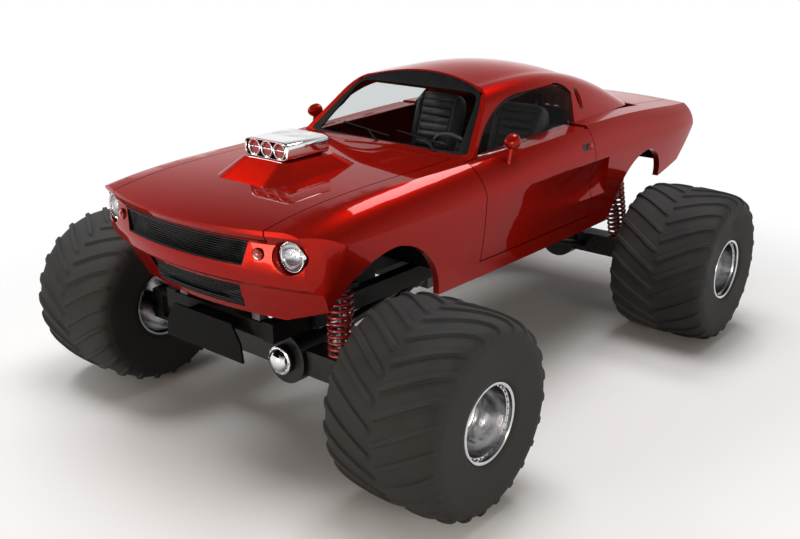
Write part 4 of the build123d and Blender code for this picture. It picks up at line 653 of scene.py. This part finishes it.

# Intake scoop: a low polished alloy box on the hood with a rolled front lip. Three throats in its mouth plate each
# have a bright ring and a red butterfly on a cross shaft. The plate is gloss black, painted shade for the scoop's
# dark inside.
SCOOP_HALF, SCOOP_HIGH, MOUTH_R, MOUTH_PITCH, MOUTH_INSET = 0.168, 0.106, 0.043, 0.1, 0.01
# Section: distance behind the front, half width and half height drawn in
SECTIONS = [
    (0.34, 0.012), (0.337, 0.004), (0.33, 0.0), (0.02, 0.0), (0.006, -0.001), (0.001, 0.001), (0.0, 0.004),
    (0.002, 0.007), (0.008, 0.009), (0.034, 0.009),
]
# Distances behind the front of the scoop
MOUTH_BEHIND, LIP_BEHIND, THROAT_BEHIND, PLATE_BEHIND, SHAFT_BEHIND = 0.031, 0.012, 0.028, 0.022, 0.017
LIP_R, SHAFT_R, SHAFT_HALF, PLATE_FACING = 0.0052, 0.004, 0.14, (0.975, 0, 0.22)
THROAT = [(-0.02, -0.004), (0.016, -0.004), (0.016, -0.001), (-0.02, -0.001)]
BUTTERFLY = [
    (-0.0012, 0.002), (-0.0012, MOUTH_R - 0.005), (0.0012, MOUTH_R - 0.005), (0.002, 0.02), (0.0025, 0.002),
]
low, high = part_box("intake_scoop")
scoop_x, mouth_z = high[0], low[2] + SCOOP_HIGH / 2
oval_y, oval_z = squared(circle(144), (0.3, 0.42)).T
shell = np.stack([
    columns(scoop_x - behind, (SCOOP_HALF - drawn) * oval_y, mouth_z + (SCOOP_HIGH / 2 - drawn) * oval_z)
    for behind, drawn in SECTIONS])
scoop = piece("scoop_shell", [patch(shell)], chrome, "hood", 35)
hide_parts("intake_scoop")
# The mouth plate: a flat gloss black sheet, painted shade for the scoop's dark inside.
mouth = crowned(SCOOP_HALF - MOUTH_INSET, SCOOP_HIGH / 2 - MOUTH_INSET, 0.001, 0.002, 6, 5, 96)
mouth_shade_plate = placed(mouth, (scoop_x - MOUTH_BEHIND, 0, mouth_z), LEFT, AHEAD)
piece("scoop_mouth_shade", [mouth_shade_plate], gloss_black, "hood")
lip_patches, plate_patches = [], []
for lateral in (-MOUTH_PITCH, 0, MOUTH_PITCH):
    ring = columns(scoop_x - LIP_BEHIND, *(MOUTH_R * circle(64) + (lateral, mouth_z)).T)
    lip_patches.append(tube(ring, LIP_R, AHEAD, 12, True))
    throat_at = (scoop_x - THROAT_BEHIND, lateral, mouth_z)
    lip_patches.append(lathe(grown(THROAT, MOUTH_R), throat_at, AHEAD, 64, True))
    plate_patches.append(lathe(BUTTERFLY, (scoop_x - PLATE_BEHIND, lateral, mouth_z), PLATE_FACING, 48))
shaft = columns(scoop_x - SHAFT_BEHIND, np.array([-SHAFT_HALF, SHAFT_HALF]), mouth_z)
lip_patches.append(tube(shaft, SHAFT_R, UP, 12))
piece("scoop_lips", lip_patches, chrome, "hood")
piece("scoop_butterflies", plate_patches, spring_red, "hood")

# Glass: four lightly tinted panes, bonded into the body and the doors. The windscreen sits in a moulded band of
# black rubber that also covers the pillars' inner edges and the roof's leading face; that broad upper part is
# painted shade for the dark cab.
SCREEN_FOOT, SCREEN_RISE = np.array([0.650, 0, 1.507]), np.arctan2(0.367, 0.405)
screen_out = np.array([np.sin(SCREEN_RISE), 0, np.cos(SCREEN_RISE)])
screen_axes = np.array([LEFT, (-np.cos(SCREEN_RISE), 0, np.sin(SCREEN_RISE)), screen_out])
# Seal outlines, left half: distance across, distance up the glass
SEAL_OUT = [
    (0.0, 0.662), (0.13, 0.654), (0.235, 0.637), (0.344, 0.608), (0.425, 0.578), (0.478, 0.548), (0.512, 0.502),
    (0.538, 0.433), (0.562, 0.359), (0.598, 0.229), (0.632, 0.118), (0.647, 0.068), (0.40, 0.066), (0.0, 0.066),
]
SEAL_IN = [
    (0.0, 0.538), (0.25, 0.538), (0.40, 0.536), (0.458, 0.524), (0.486, 0.49), (0.502, 0.43), (0.52, 0.34),
    (0.545, 0.22), (0.565, 0.12), (0.574, 0.085), (0.38, 0.082), (0.0, 0.082),
]
SEAL_MIDDLE, SEAL_FLATTEN, SEAL_STEPS = 0.3, 0.6, 240
# Seal section: share of the way from the outer line to the inner one, height over the screen's plane
SEAL_SECTION = ((0, -0.009), (0, 0.001), (0.3, 0.003), (1, 0.001), (1, -0.009))
tinted = material("tinted_glass", (0.8, 0.82, 0.82), 0.0, IOR=1.06, Transmission_Weight=1.0)[0]
dress(["windscreen", "rear_window", "door_glass_left", "door_glass_right"], tinted)
# Black rubber, also painted shade where the windscreen band covers the roof's leading face.
seal_and_shade_black = weathered(
    "seal_and_shade_black", (0.003, 0.003, 0.003), (0.006, 0.006, 0.006), (0.42, 0.6), 20, 800, 0.0003,
    Specular_IOR_Level=0.12)


def on_screen(across, up, lift):
    """Points on the windscreen's plane: so far across, up the glass and out from it."""
    return SCREEN_FOOT + columns(across, up, lift) @ screen_axes


def soften(points, rounds=3, closed=True):
    """Cuts each corner of a line a quarter of the way along its sides, again and again, to a smooth curve."""
    points = np.asarray(points, float)
    for _ in range(rounds):
        here, ahead = (points, np.roll(points, -1, 0)) if closed else (points[:-1], points[1:])
        cut = np.stack((3 * here + ahead, here + 3 * ahead), axis=1).reshape(-1, points.shape[1]) / 4
        points = cut if closed else np.concatenate((points[:1], cut, points[-1:]))
    return points


def spread(points, count, closed=True):
    """The same line with points at equal steps along its length."""
    if closed:
        points = np.concatenate((points, points[:1]))
    along = np.append(0, np.cumsum(np.linalg.norm(np.diff(points, axis=0), axis=1)))
    steps = np.linspace(0, along[-1], count, endpoint=not closed)
    return np.stack([np.interp(steps, along, column) for column in points.T], axis=-1)


# The band's outer line reaches far over the roof's leading face: its black there is painted shade for the cab seen
# through the glass.
seal_lines = []
for half in (np.array(SEAL_OUT), np.array(SEAL_IN)):
    loop = spread(soften(np.concatenate((half, half[-2:0:-1] * (-1, 1))), 2), 400)
    heading = np.arctan2(loop[:, 1] - SEAL_MIDDLE, SEAL_FLATTEN * loop[:, 0])
    even = np.linspace(-np.pi, np.pi, SEAL_STEPS, endpoint=False)
    seal_lines.append(columns(*(np.interp(even, heading, column, period=2 * np.pi) for column in loop.T)))
seal_outer, seal_inner = seal_lines
seal_and_shade_band = [on_screen(*((1 - share) * seal_outer + share * seal_inner).T, lift) for share, lift in SEAL_SECTION]
piece("windscreen_seal_and_shade_band", [patch(np.stack(seal_and_shade_band), closed_rows=True)], seal_and_shade_black)

# Wipers: two pressed steel arms in black paint, each clamped on a spindle that comes through the cowl.
# Each carries a straight rubber blade that lies along the foot of the glass.
# Blade: far end, near end and spindle, each across and up the glass
BLADES = np.array([((0.06, 0.165), (0.48, 0.115), (0.42, 0.055)), ((-0.40, 0.165), (0.02, 0.115), (-0.04, 0.055))])
BLADE_R, BLADE_LIFT, ARM_LIFT, ARM_R, ARM_GRIP = 0.006, 0.007, 0.012, (0.009, 0.004), 0.55
SPINDLE = [(-0.03, 0.012), (0.008, 0.012), (0.014, 0.006)]
wiper_patches = []
for far, near, pivot in BLADES:
    wiper_patches.append(tube(on_screen(*np.linspace(far, near, 16).T, BLADE_LIFT), BLADE_R, screen_out, 8))
    middle = (1 - ARM_GRIP) * far + ARM_GRIP * near
    arch = ARM_LIFT * (1 + np.sin(np.linspace(0, np.pi, 12)))
    arm = on_screen(*np.linspace(pivot, middle, 12).T, arch)
    wiper_patches.append(tube(arm, np.linspace(*ARM_R, 12), screen_out, 8))
    wiper_patches.append(lathe(SPINDLE, arm[0], screen_out, 20))
piece("wipers", wiper_patches, seal_and_shade_black)

# Door window seals and belt strips: black rubber round each side pane, a satin bright strip along its foot.
# They follow a curved skin fitted to the pane itself, so they lie on the glass.
WINDOW = [
    (0.573, 1.539), (0.49, 1.615), (0.305, 1.747), (0.08, 1.825), (-0.105, 1.841), (-0.3, 1.846), (-0.485, 1.847),
    (-0.60, 1.836), (-0.675, 1.805), (-0.705, 1.769), (-0.635, 1.654), (-0.565, 1.539),
]
WINDOW_FOOT, WINDOW_MIDDLE, WINDOW_SEAL = (0.0, 1.539), np.array([-0.08, 1.70]), 0.026
# Seal section: share of the way from the outer line to the inner one, height over the glass
WINDOW_SECTION = ((0, -0.004), (0, 0.005), (0.5, 0.007), (1, 0.003), (1, -0.004))
BELT_ENDS, BELT_Z, BELT_PROUD, BELT_STRIP_R = (0.54, -0.56), 1.5475, 0.008, 0.006
strip_grey = weathered("strip_grey", (0.45, 0.45, 0.45), (0.58, 0.58, 0.58), (0.18, 0.32), 30, 900, 0.0001, 1.0)


def skin_of(name):
    """Fits a pane's distance from the centre line as a quadric of its length and height, by least squares."""
    def terms(x, z):
        return columns(1, x, z, x * x, x * z, z * z)
    mesh = nodes[name].data
    points = np.empty(3 * len(mesh.vertices))
    mesh.vertices.foreach_get("co", points)
    x, y, z = points.reshape(-1, 3).T
    weights = np.linalg.lstsq(terms(x, z), y, rcond=None)[0]
    return lambda x, z: terms(x, z) @ weights


outer = spread(np.concatenate((soften(WINDOW, 2, False), [WINDOW_FOOT])), 150)
inner = outer - WINDOW_SEAL * unit(outer - WINDOW_MIDDLE)
for name, side in SIDES:
    skin = skin_of(f"door_glass_{name}")
    rows = []
    for share, proud in WINDOW_SECTION:
        x, z = ((1 - share) * outer + share * inner).T
        rows.append(columns(x, skin(x, z) + side * proud, z))
    seal = patch(np.stack(rows), closed_rows=True)
    piece(f"window_seal_{name}", [seal], seal_and_shade_black, f"door_{name}")
    x = np.linspace(*BELT_ENDS, 60)
    strip = tube(columns(x, skin(x, BELT_Z) + side * BELT_PROUD, BELT_Z), BELT_STRIP_R, UP, 8)
    piece(f"belt_strip_{name}", [strip], strip_grey, f"door_{name}")

# Door mirrors: smooth cast teardrops in body paint on slim stalks that screw to the door's shoulder.
# A round glass is set in the rear of each.
MIRROR_AT, MIRROR_R = np.array([0.376, 0.815, 1.629]), 0.047
POD_REAR, POD_LONG, POD_WIDEST = -0.052, 0.118, 0.32
STALK_FOOT, STALK_SPAN, STALK_R = np.array([0.400, 0.806, 1.499]), (-0.02, 0.85), (0.017, 0.011)
mirror_glass, shader, make, place = material("mirror_glass", (0.75, 0.77, 0.79), 0.02, 1.0)
roughen(mirror_glass, shader, make, mottled(make, 20, 700)["Cloud"], 0.015, 0.05)
share = np.linspace(0, 1, 40)
rear = share < POD_WIDEST
fall = (share - POD_WIDEST) / np.where(rear, 0.345, 0.685)
pod = columns(
    POD_REAR + POD_LONG * share, MIRROR_R * np.sqrt(np.clip(1 - fall ** 2, 0, 1)) ** np.where(rear, 1.0, 1.25))
pod[-1, 1] = 0.001
PANE = [(-0.0535, 0.002), (-0.0535, pod[0, 1] * 0.9), (-0.05, pod[0, 1] * 0.92)]
for name, side in SIDES:
    centre, foot = MIRROR_AT * (1, side, 1), STALK_FOOT * (1, side, 1)
    stalk = foot + np.linspace(*STALK_SPAN, 12)[:, None] * (centre - foot)
    shell = [lathe(pod, centre, AHEAD), tube(stalk, np.linspace(*STALK_R, 12), AHEAD, 16)]
    body = piece(f"mirror_pod_{name}", shell, candy, f"door_{name}", 60)
    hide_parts(f"mirror_{name}")
    piece(f"mirror_pane_{name}", [lathe(PANE, centre, AHEAD, 40)], mirror_glass, f"door_{name}")

# Door handles and sail louvres: flush paddles over dark cups on the doors, and an upright slot with two
# body-coloured fins in each sail behind the side window. Cups and slots are flat gloss black patches, painted shade
# for the handle recesses and louvre openings.
# Each is seated on the panel where a level line meets it.
HANDLE_AT, LOUVRE_AT, LOUVRE_UP = (-0.475, 1.467), (-0.775, 1.722), (-0.12, 0, 1)
SHADE_CUP_FORM, PADDLE_FORM = (0.062, 0.024, -0.0005, 0.004, 5, 6, 56), (0.032, 0.0165, 0.006, 0.006, 4, 8, 48)
SHADE_SLOT_FORM, BLADE_FIN = (0.078, 0.022, 0.0, 0.004, 6, 5, 56), (0.07, 0.0035, 0.008, 0.004, 4, 5, 40)
SHADE_CUP_PROUD, PADDLE_PROUD, PADDLE_BEHIND, SHADE_SLOT_PROUD, FIN_PROUD = 0.001, 0.004, 0.027, 0.0015, 0.004


def seat_on(name, x, z, side):
    """The point where a level line from outside meets a panel, and the panel's outward direction there."""
    mesh = nodes[name].data
    corners = [corner.co for corner in mesh.vertices]
    tree = BVHTree.FromPolygons(corners, [face.vertices for face in mesh.polygons])
    place, facing = tree.ray_cast(Vector((x, side * 2, z)), Vector((0, -side, 0)))[:2]
    return np.array(place), np.array(facing)


for name, side in SIDES:
    door = f"door_{name}"
    place, facing = seat_on(door, *HANDLE_AT, side)
    # A flat gloss black oval just proud of the door: painted shade for the handle's recess.
    cup = placed(crowned(*SHADE_CUP_FORM), place + SHADE_CUP_PROUD * facing, AHEAD, facing)
    piece(f"handle_shade_cup_{name}", [cup], gloss_black, door)
    paddle_at = place + PADDLE_PROUD * facing - (PADDLE_BEHIND, 0, 0)
    paddle = placed(crowned(*PADDLE_FORM), paddle_at, AHEAD, facing)
    piece(f"handle_paddle_{name}", [paddle], candy, door)
    place, facing = seat_on("sails", *LOUVRE_AT, side)
    # A flat gloss black slot just proud of the sail: painted shade for the louvre's opening.
    slot = placed(crowned(*SHADE_SLOT_FORM), place + SHADE_SLOT_PROUD * facing, LOUVRE_UP, facing)
    piece(f"louvre_shade_slot_{name}", [slot], gloss_black)
    fins = [
        placed(crowned(*BLADE_FIN), place + FIN_PROUD * facing + (shift, 0, 0), LOUVRE_UP, facing)
        for shift in (0.006, -0.014)]
    piece(f"louvre_fins_{name}", fins, candy)

# Rims: spun and polished alloy barrels with a rolled lip at each end, a dish well inside and a capped hub.
# Rings of small bolts hold the lip and the dish, and eight nuts hold the dish to the hub.
TRACK_HALF = 1.263
CORNERS = [
    ("front_left", FRONT_AXLE_X, 1), ("front_right", FRONT_AXLE_X, -1), ("rear_left", REAR_AXLE_X, 1),
    ("rear_right", REAR_AXLE_X, -1),
]
RIM_PROFILE = [
    (0.3165, 0.2045), (0.3165, 0.2125), (0.319, 0.2145), (0.323, 0.2145), (0.3262, 0.2118), (0.327, 0.207),
    (0.3262, 0.201), (0.323, 0.1972), (0.314, 0.196), (0.304, 0.1955), (0.3, 0.1925), (0.2985, 0.186),
    (0.296, 0.1835), (0.285, 0.183), (0.15, 0.181), (0.126, 0.1795), (0.118, 0.176), (0.115, 0.1705),
    (0.112, 0.168), (0.104, 0.163), (0.096, 0.145), (0.0915, 0.125), (0.09, 0.108), (0.093, 0.097),
    (0.1, 0.0925), (0.11, 0.091), (0.115, 0.088), (0.1155, 0.07), (0.06, 0.068), (0.06, 0.178), (0.06, 0.1905),
    (-0.29, 0.1905), (-0.3165, 0.194), (-0.327, 0.2), (-0.3265, 0.212), (-0.3165, 0.2135), (-0.3165, 0.2045),
]
HUB_CAP = [(0.112, 0.0695), (0.1165, 0.0695), (0.122, 0.066), (0.128, 0.055), (0.133, 0.035), (0.135, 0.004)]
RIM_BOLTS = [
    (32, 0.1893, 0.2985, 0.0042, 0.005), (24, 0.1655, 0.11, 0.0042, 0.005), (8, 0.118, 0.09, 0.011, 0.02),
]
polished = weathered("polished_alloy", (0.6, 0.6, 0.61), (0.66, 0.66, 0.67), (0.13, 0.17), 9, 900, 0.00003, 1.0)
bolt_dark = weathered("bolt_dark", (0.04, 0.04, 0.042), (0.1, 0.1, 0.1), (0.3, 0.5), 60, 900, 0.0002, 0.9)
for name, x, side in CORNERS:
    hub, out, spins = (x, side * TRACK_HALF, AXLE_Z), (0, side, 0), f"wheel_{name}"
    barrel = lathe(RIM_PROFILE, hub, out, 128, True)
    wheel = piece(f"rim_spun_{name}", [barrel], polished, spins, 25)
    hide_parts(f"rim_{name}")
    bolts = [head for ring in RIM_BOLTS for head in screws(*ring, hub, out)]
    piece(f"rim_bolts_{name}", bolts, bolt_dark, spins, 30)
    piece(f"hub_cap_{name}", [lathe(HUB_CAP, hub, out)], chrome, spins, 30)

# Tyres: very wide rubber flotation covers with two rows of slanting bars that meet in a chevron, one row half a
# pitch behind the other. The wall is a spun section; the bars rise from it along lines that slant with them.
LUGS, LUG_HEIGHT, LUG_TOP, LUG_FOOT = 24, 0.0165, 0.0125, 0.0205
LUG_IN, LUG_OUT, LUG_SLANT, LUG_BEND = 0.022, 0.325, np.radians(20), 0.012
LUG_DIES, LUG_DIES_OVER, WALL_R, WALL_OUT = 0.452, 0.055, 0.47, 0.3
# Steps round half a pitch, closest on the flanks of the bars, in millimetres of tread over its 70.8 mm
LUG_STEPS = np.array([-27, -22, -19.5, -16.5, -13.5, -11.5, -5, 5, 11.5, 13.5, 16.5, 19.5, 22, 27, 35.4]) / 70.8
TYRE_HALF = [
    (0.300, 0.2065), (0.314, 0.2075), (0.3155, 0.214), (0.319, 0.2175), (0.328, 0.222), (0.334, 0.236),
    (0.3375, 0.27), (0.3405, 0.32), (0.3432, 0.37), (0.3445, 0.41), (0.344, 0.44), (0.339, 0.466), (0.329, 0.483),
    (0.314, 0.4945), (0.293, 0.5045), (0.264, 0.5125), (0.227, 0.5185), (0.181, 0.523), (0.12, 0.5262),
    (0.06, 0.5272), (0.0, 0.5275),
]
# Wall ring: radius, height, half width
WALL_RINGS = [(0.243, 0.003, 0.005), (0.262, 0.0015, 0.004), (0.398, 0.002, 0.004), (0.43, 0.0025, 0.005)]
rubber = weathered(
    "tyre_rubber", (0.036, 0.036, 0.037), (0.052, 0.051, 0.05), (0.62, 0.8), 6, 240, 0.0008,
    Specular_IOR_Level=0.2)


def eased(share):
    """A share held between nought and one, with soft ends: three times its square less twice its cube."""
    share = np.clip(share, 0, 1)
    return share * share * (3 - 2 * share)


half_line = spread(soften(TYRE_HALF, 2, False), 54, False)
tyre_line = np.concatenate((half_line, half_line[-2::-1] * (-1, 1)))
slope = unit(np.gradient(tyre_line, axis=0))
outward = columns(slope[:, 1], -slope[:, 0])
outward *= np.sign(outward[len(tyre_line) // 2, 1])
across, radius = tyre_line[:, :1], tyre_line[:, 1:]
start_turn = (np.arange(2 * LUGS)[:, None] + LUG_STEPS).ravel() * np.pi / LUGS
reach = np.abs(across)
shear = LUG_SLANT * np.clip((np.hypot(reach, LUG_BEND) - LUG_IN) / (LUG_OUT - LUG_IN), -0.05, 1)
row_shift = np.where(across > 0, 0, np.pi / LUGS)
pitch = 2 * np.pi / LUGS
off = (start_turn + np.pi / 2 - row_shift + pitch / 2) % pitch - pitch / 2
off_bar = np.hypot(off * radius, np.clip(LUG_IN - reach, 0, None))
ridge = eased((LUG_FOOT - off_bar) / (LUG_FOOT - LUG_TOP))
height = LUG_HEIGHT * ridge * eased((radius - LUG_DIES) / LUG_DIES_OVER)
on_wall = (radius < WALL_R) & (reach > WALL_OUT)
for ring_r, ring_high, ring_wide in WALL_RINGS:
    height = height + on_wall * ring_high * np.exp(-((radius - ring_r) / ring_wide) ** 2)
turn = start_turn + shear
radial = radius + outward[:, 1:] * height
tread = columns(radial * np.cos(turn), across + outward[:, :1] * height, radial * np.sin(turn))
for name, x, side in CORNERS:
    grid = tread * (1, side, 1) + np.array([x, side * TRACK_HALF, AXLE_Z])
    skin = patch(grid, closed_rows=True)
    cover = piece(f"tyre_cover_{name}", [skin], rubber, f"wheel_{name}", 60)
    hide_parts(f"tyre_{name}")

# Stage: a white floor that fades into a white world. A broad light hangs above, and four smaller ones stand ahead,
# on the left flank, on the far side and behind. Floor and world look white but send little light up to the truck.
FLOOR_HALF, FLOOR_SHRINK, FADE_FROM, FADE_TO = 60, (0.86, 1.0, 1.0), 1.7, 4.3
FLOOR_DARK, FLOOR_PALE, WORLD_LIGHT = (0.22, 0.22, 0.22), (1.0, 0.985, 0.98), 0.16
# World in reflections: two heights between which it fades, and its light below and above them
WALL_FADE = (0.16, 0.6, 1.0, 0.1)
# Lamp: name, place, aim, size, power, colour, whether it shows in reflections
LAMPS = [
    ("top", (0.3, 0.3, 8.0), (0.0, 0.0, 0.0), 4.5, 330, (1.0, 1.0, 1.0), False),
    ("key", (7.2, -0.3, 0.9), (2.0, 0.3, 1.2), 1.6, 125, (1.0, 0.86, 0.7), True),
    ("flank", (1.9, 7.0, 1.3), (1.9, 0.8, 1.2), 1.6, 110, (1.0, 0.86, 0.7), True),
    ("far", (2.4, -3.6, 4.9), (1.6, 0.0, 1.6), 1.6, 100, (1.0, 1.0, 1.0), True),
    ("crest", (-3.2, 0.4, 6.0), (1.2, 0.6, 1.4), 1.6, 95, (1.0, 1.0, 1.0), True),
]
floor_mesh = bpy.data.meshes.new("floor")
floor_corners = [(FLOOR_HALF * x, FLOOR_HALF * y, 0) for x, y in ((-1, -1), (1, -1), (1, 1), (-1, 1))]
floor_mesh.from_pydata(floor_corners, [], [(0, 1, 2, 3)])
floor = bpy.data.objects.new("floor", floor_mesh)
bpy.context.collection.objects.link(floor)


def seen_rays(make):
    """One where a ray comes from the camera, a reflection or through glass, else nought."""
    rays = make("ShaderNodeLightPath").outputs
    seen = make("ShaderNodeMath", {0: rays["Is Camera Ray"], 1: rays["Is Glossy Ray"]}, operation="MAXIMUM")
    through = {0: seen.outputs[0], 1: rays["Is Transmission Ray"]}
    return make("ShaderNodeMath", through, operation="MAXIMUM").outputs[0]


floor_white, shader, make, place = material("floor_white", (0.95, 0.94, 0.94), 0.9, Specular_IOR_Level=0.0)
link(floor_white, mixed(make, seen_rays(make), FLOOR_DARK, FLOOR_PALE), shader.inputs["Base Color"])
shrunk = make("ShaderNodeVectorMath", {0: place, 1: FLOOR_SHRINK}, operation="MULTIPLY")
away = make("ShaderNodeVectorMath", {0: shrunk.outputs["Vector"]}, operation="LENGTH")
far = ranged(make, away.outputs["Value"], FADE_FROM, FADE_TO, interpolation_type="SMOOTHSTEP")
glow = make("ShaderNodeMath", {0: far, 1: seen_rays(make)}, operation="MULTIPLY")
backdrop = make("ShaderNodeEmission", {"Color": (1, 1, 1, 1), "Strength": 1.0})
blend = make("ShaderNodeMixShader", {0: glow.outputs[0], 1: shader.outputs[0], 2: backdrop.outputs[0]})
link(floor_white, blend.outputs[0], floor_white.node_tree.nodes["Material Output"].inputs["Surface"])
floor_mesh.materials.append(floor_white)

world = bpy.data.worlds.new("studio")
bpy.context.scene.world = world
world.use_nodes = True
make = node_maker(world.node_tree)
sky = world.node_tree.nodes["Background"]
heading = make("ShaderNodeSeparateXYZ", {0: make("ShaderNodeTexCoord").outputs["Generated"]})
wall = ranged(make, heading.outputs["Z"], *WALL_FADE)
light = ranged(make, seen_rays(make), 0, 1, WORLD_LIGHT, wall)
sky.inputs["Color"].default_value = (1, 1, 1, 1)
world.node_tree.links.new(light, sky.inputs["Strength"])
for name, at, aim, size, power, colour, mirrored in LAMPS:
    lamp = bpy.data.lights.new(name, "AREA")
    lamp.size = size
    lamp.energy = power
    lamp.color = colour
    holder = bpy.data.objects.new(name, lamp)
    holder.location = at
    holder.rotation_euler = (Vector(aim) - Vector(at)).to_track_quat("-Z", "Y").to_euler()
    holder.visible_glossy = mirrored
    bpy.context.collection.objects.link(holder)

# Camera: a moderate lens ahead of the left front wheel, a little above the roof, looking down on the hood.
# Its place, angles and lens were fitted to the photograph.
CAMERA_AT, SENSOR_WIDTH, LENS = (5.1913, 3.8965, 2.8157), 36, 43.384
CAMERA_AZIMUTH, CAMERA_ELEVATION, CAMERA_ROLL = np.radians((39.297, 19.383, 0.259))
camera = bpy.data.cameras.new("camera")
camera.sensor_width = SENSOR_WIDTH
camera.lens = LENS
holder = bpy.data.objects.new("camera", camera)
level_part = np.cos(CAMERA_ELEVATION)
away = Vector((
    np.cos(CAMERA_AZIMUTH) * level_part, np.sin(CAMERA_AZIMUTH) * level_part, np.sin(CAMERA_ELEVATION)))
holder.location = CAMERA_AT
holder.rotation_euler = (-away).to_track_quat("-Z", "Y").to_euler()
holder.rotation_euler.rotate_axis("Z", CAMERA_ROLL)
bpy.context.collection.objects.link(holder)
bpy.context.scene.camera = holder
bpy.context.scene.view_settings.view_transform = "Standard"
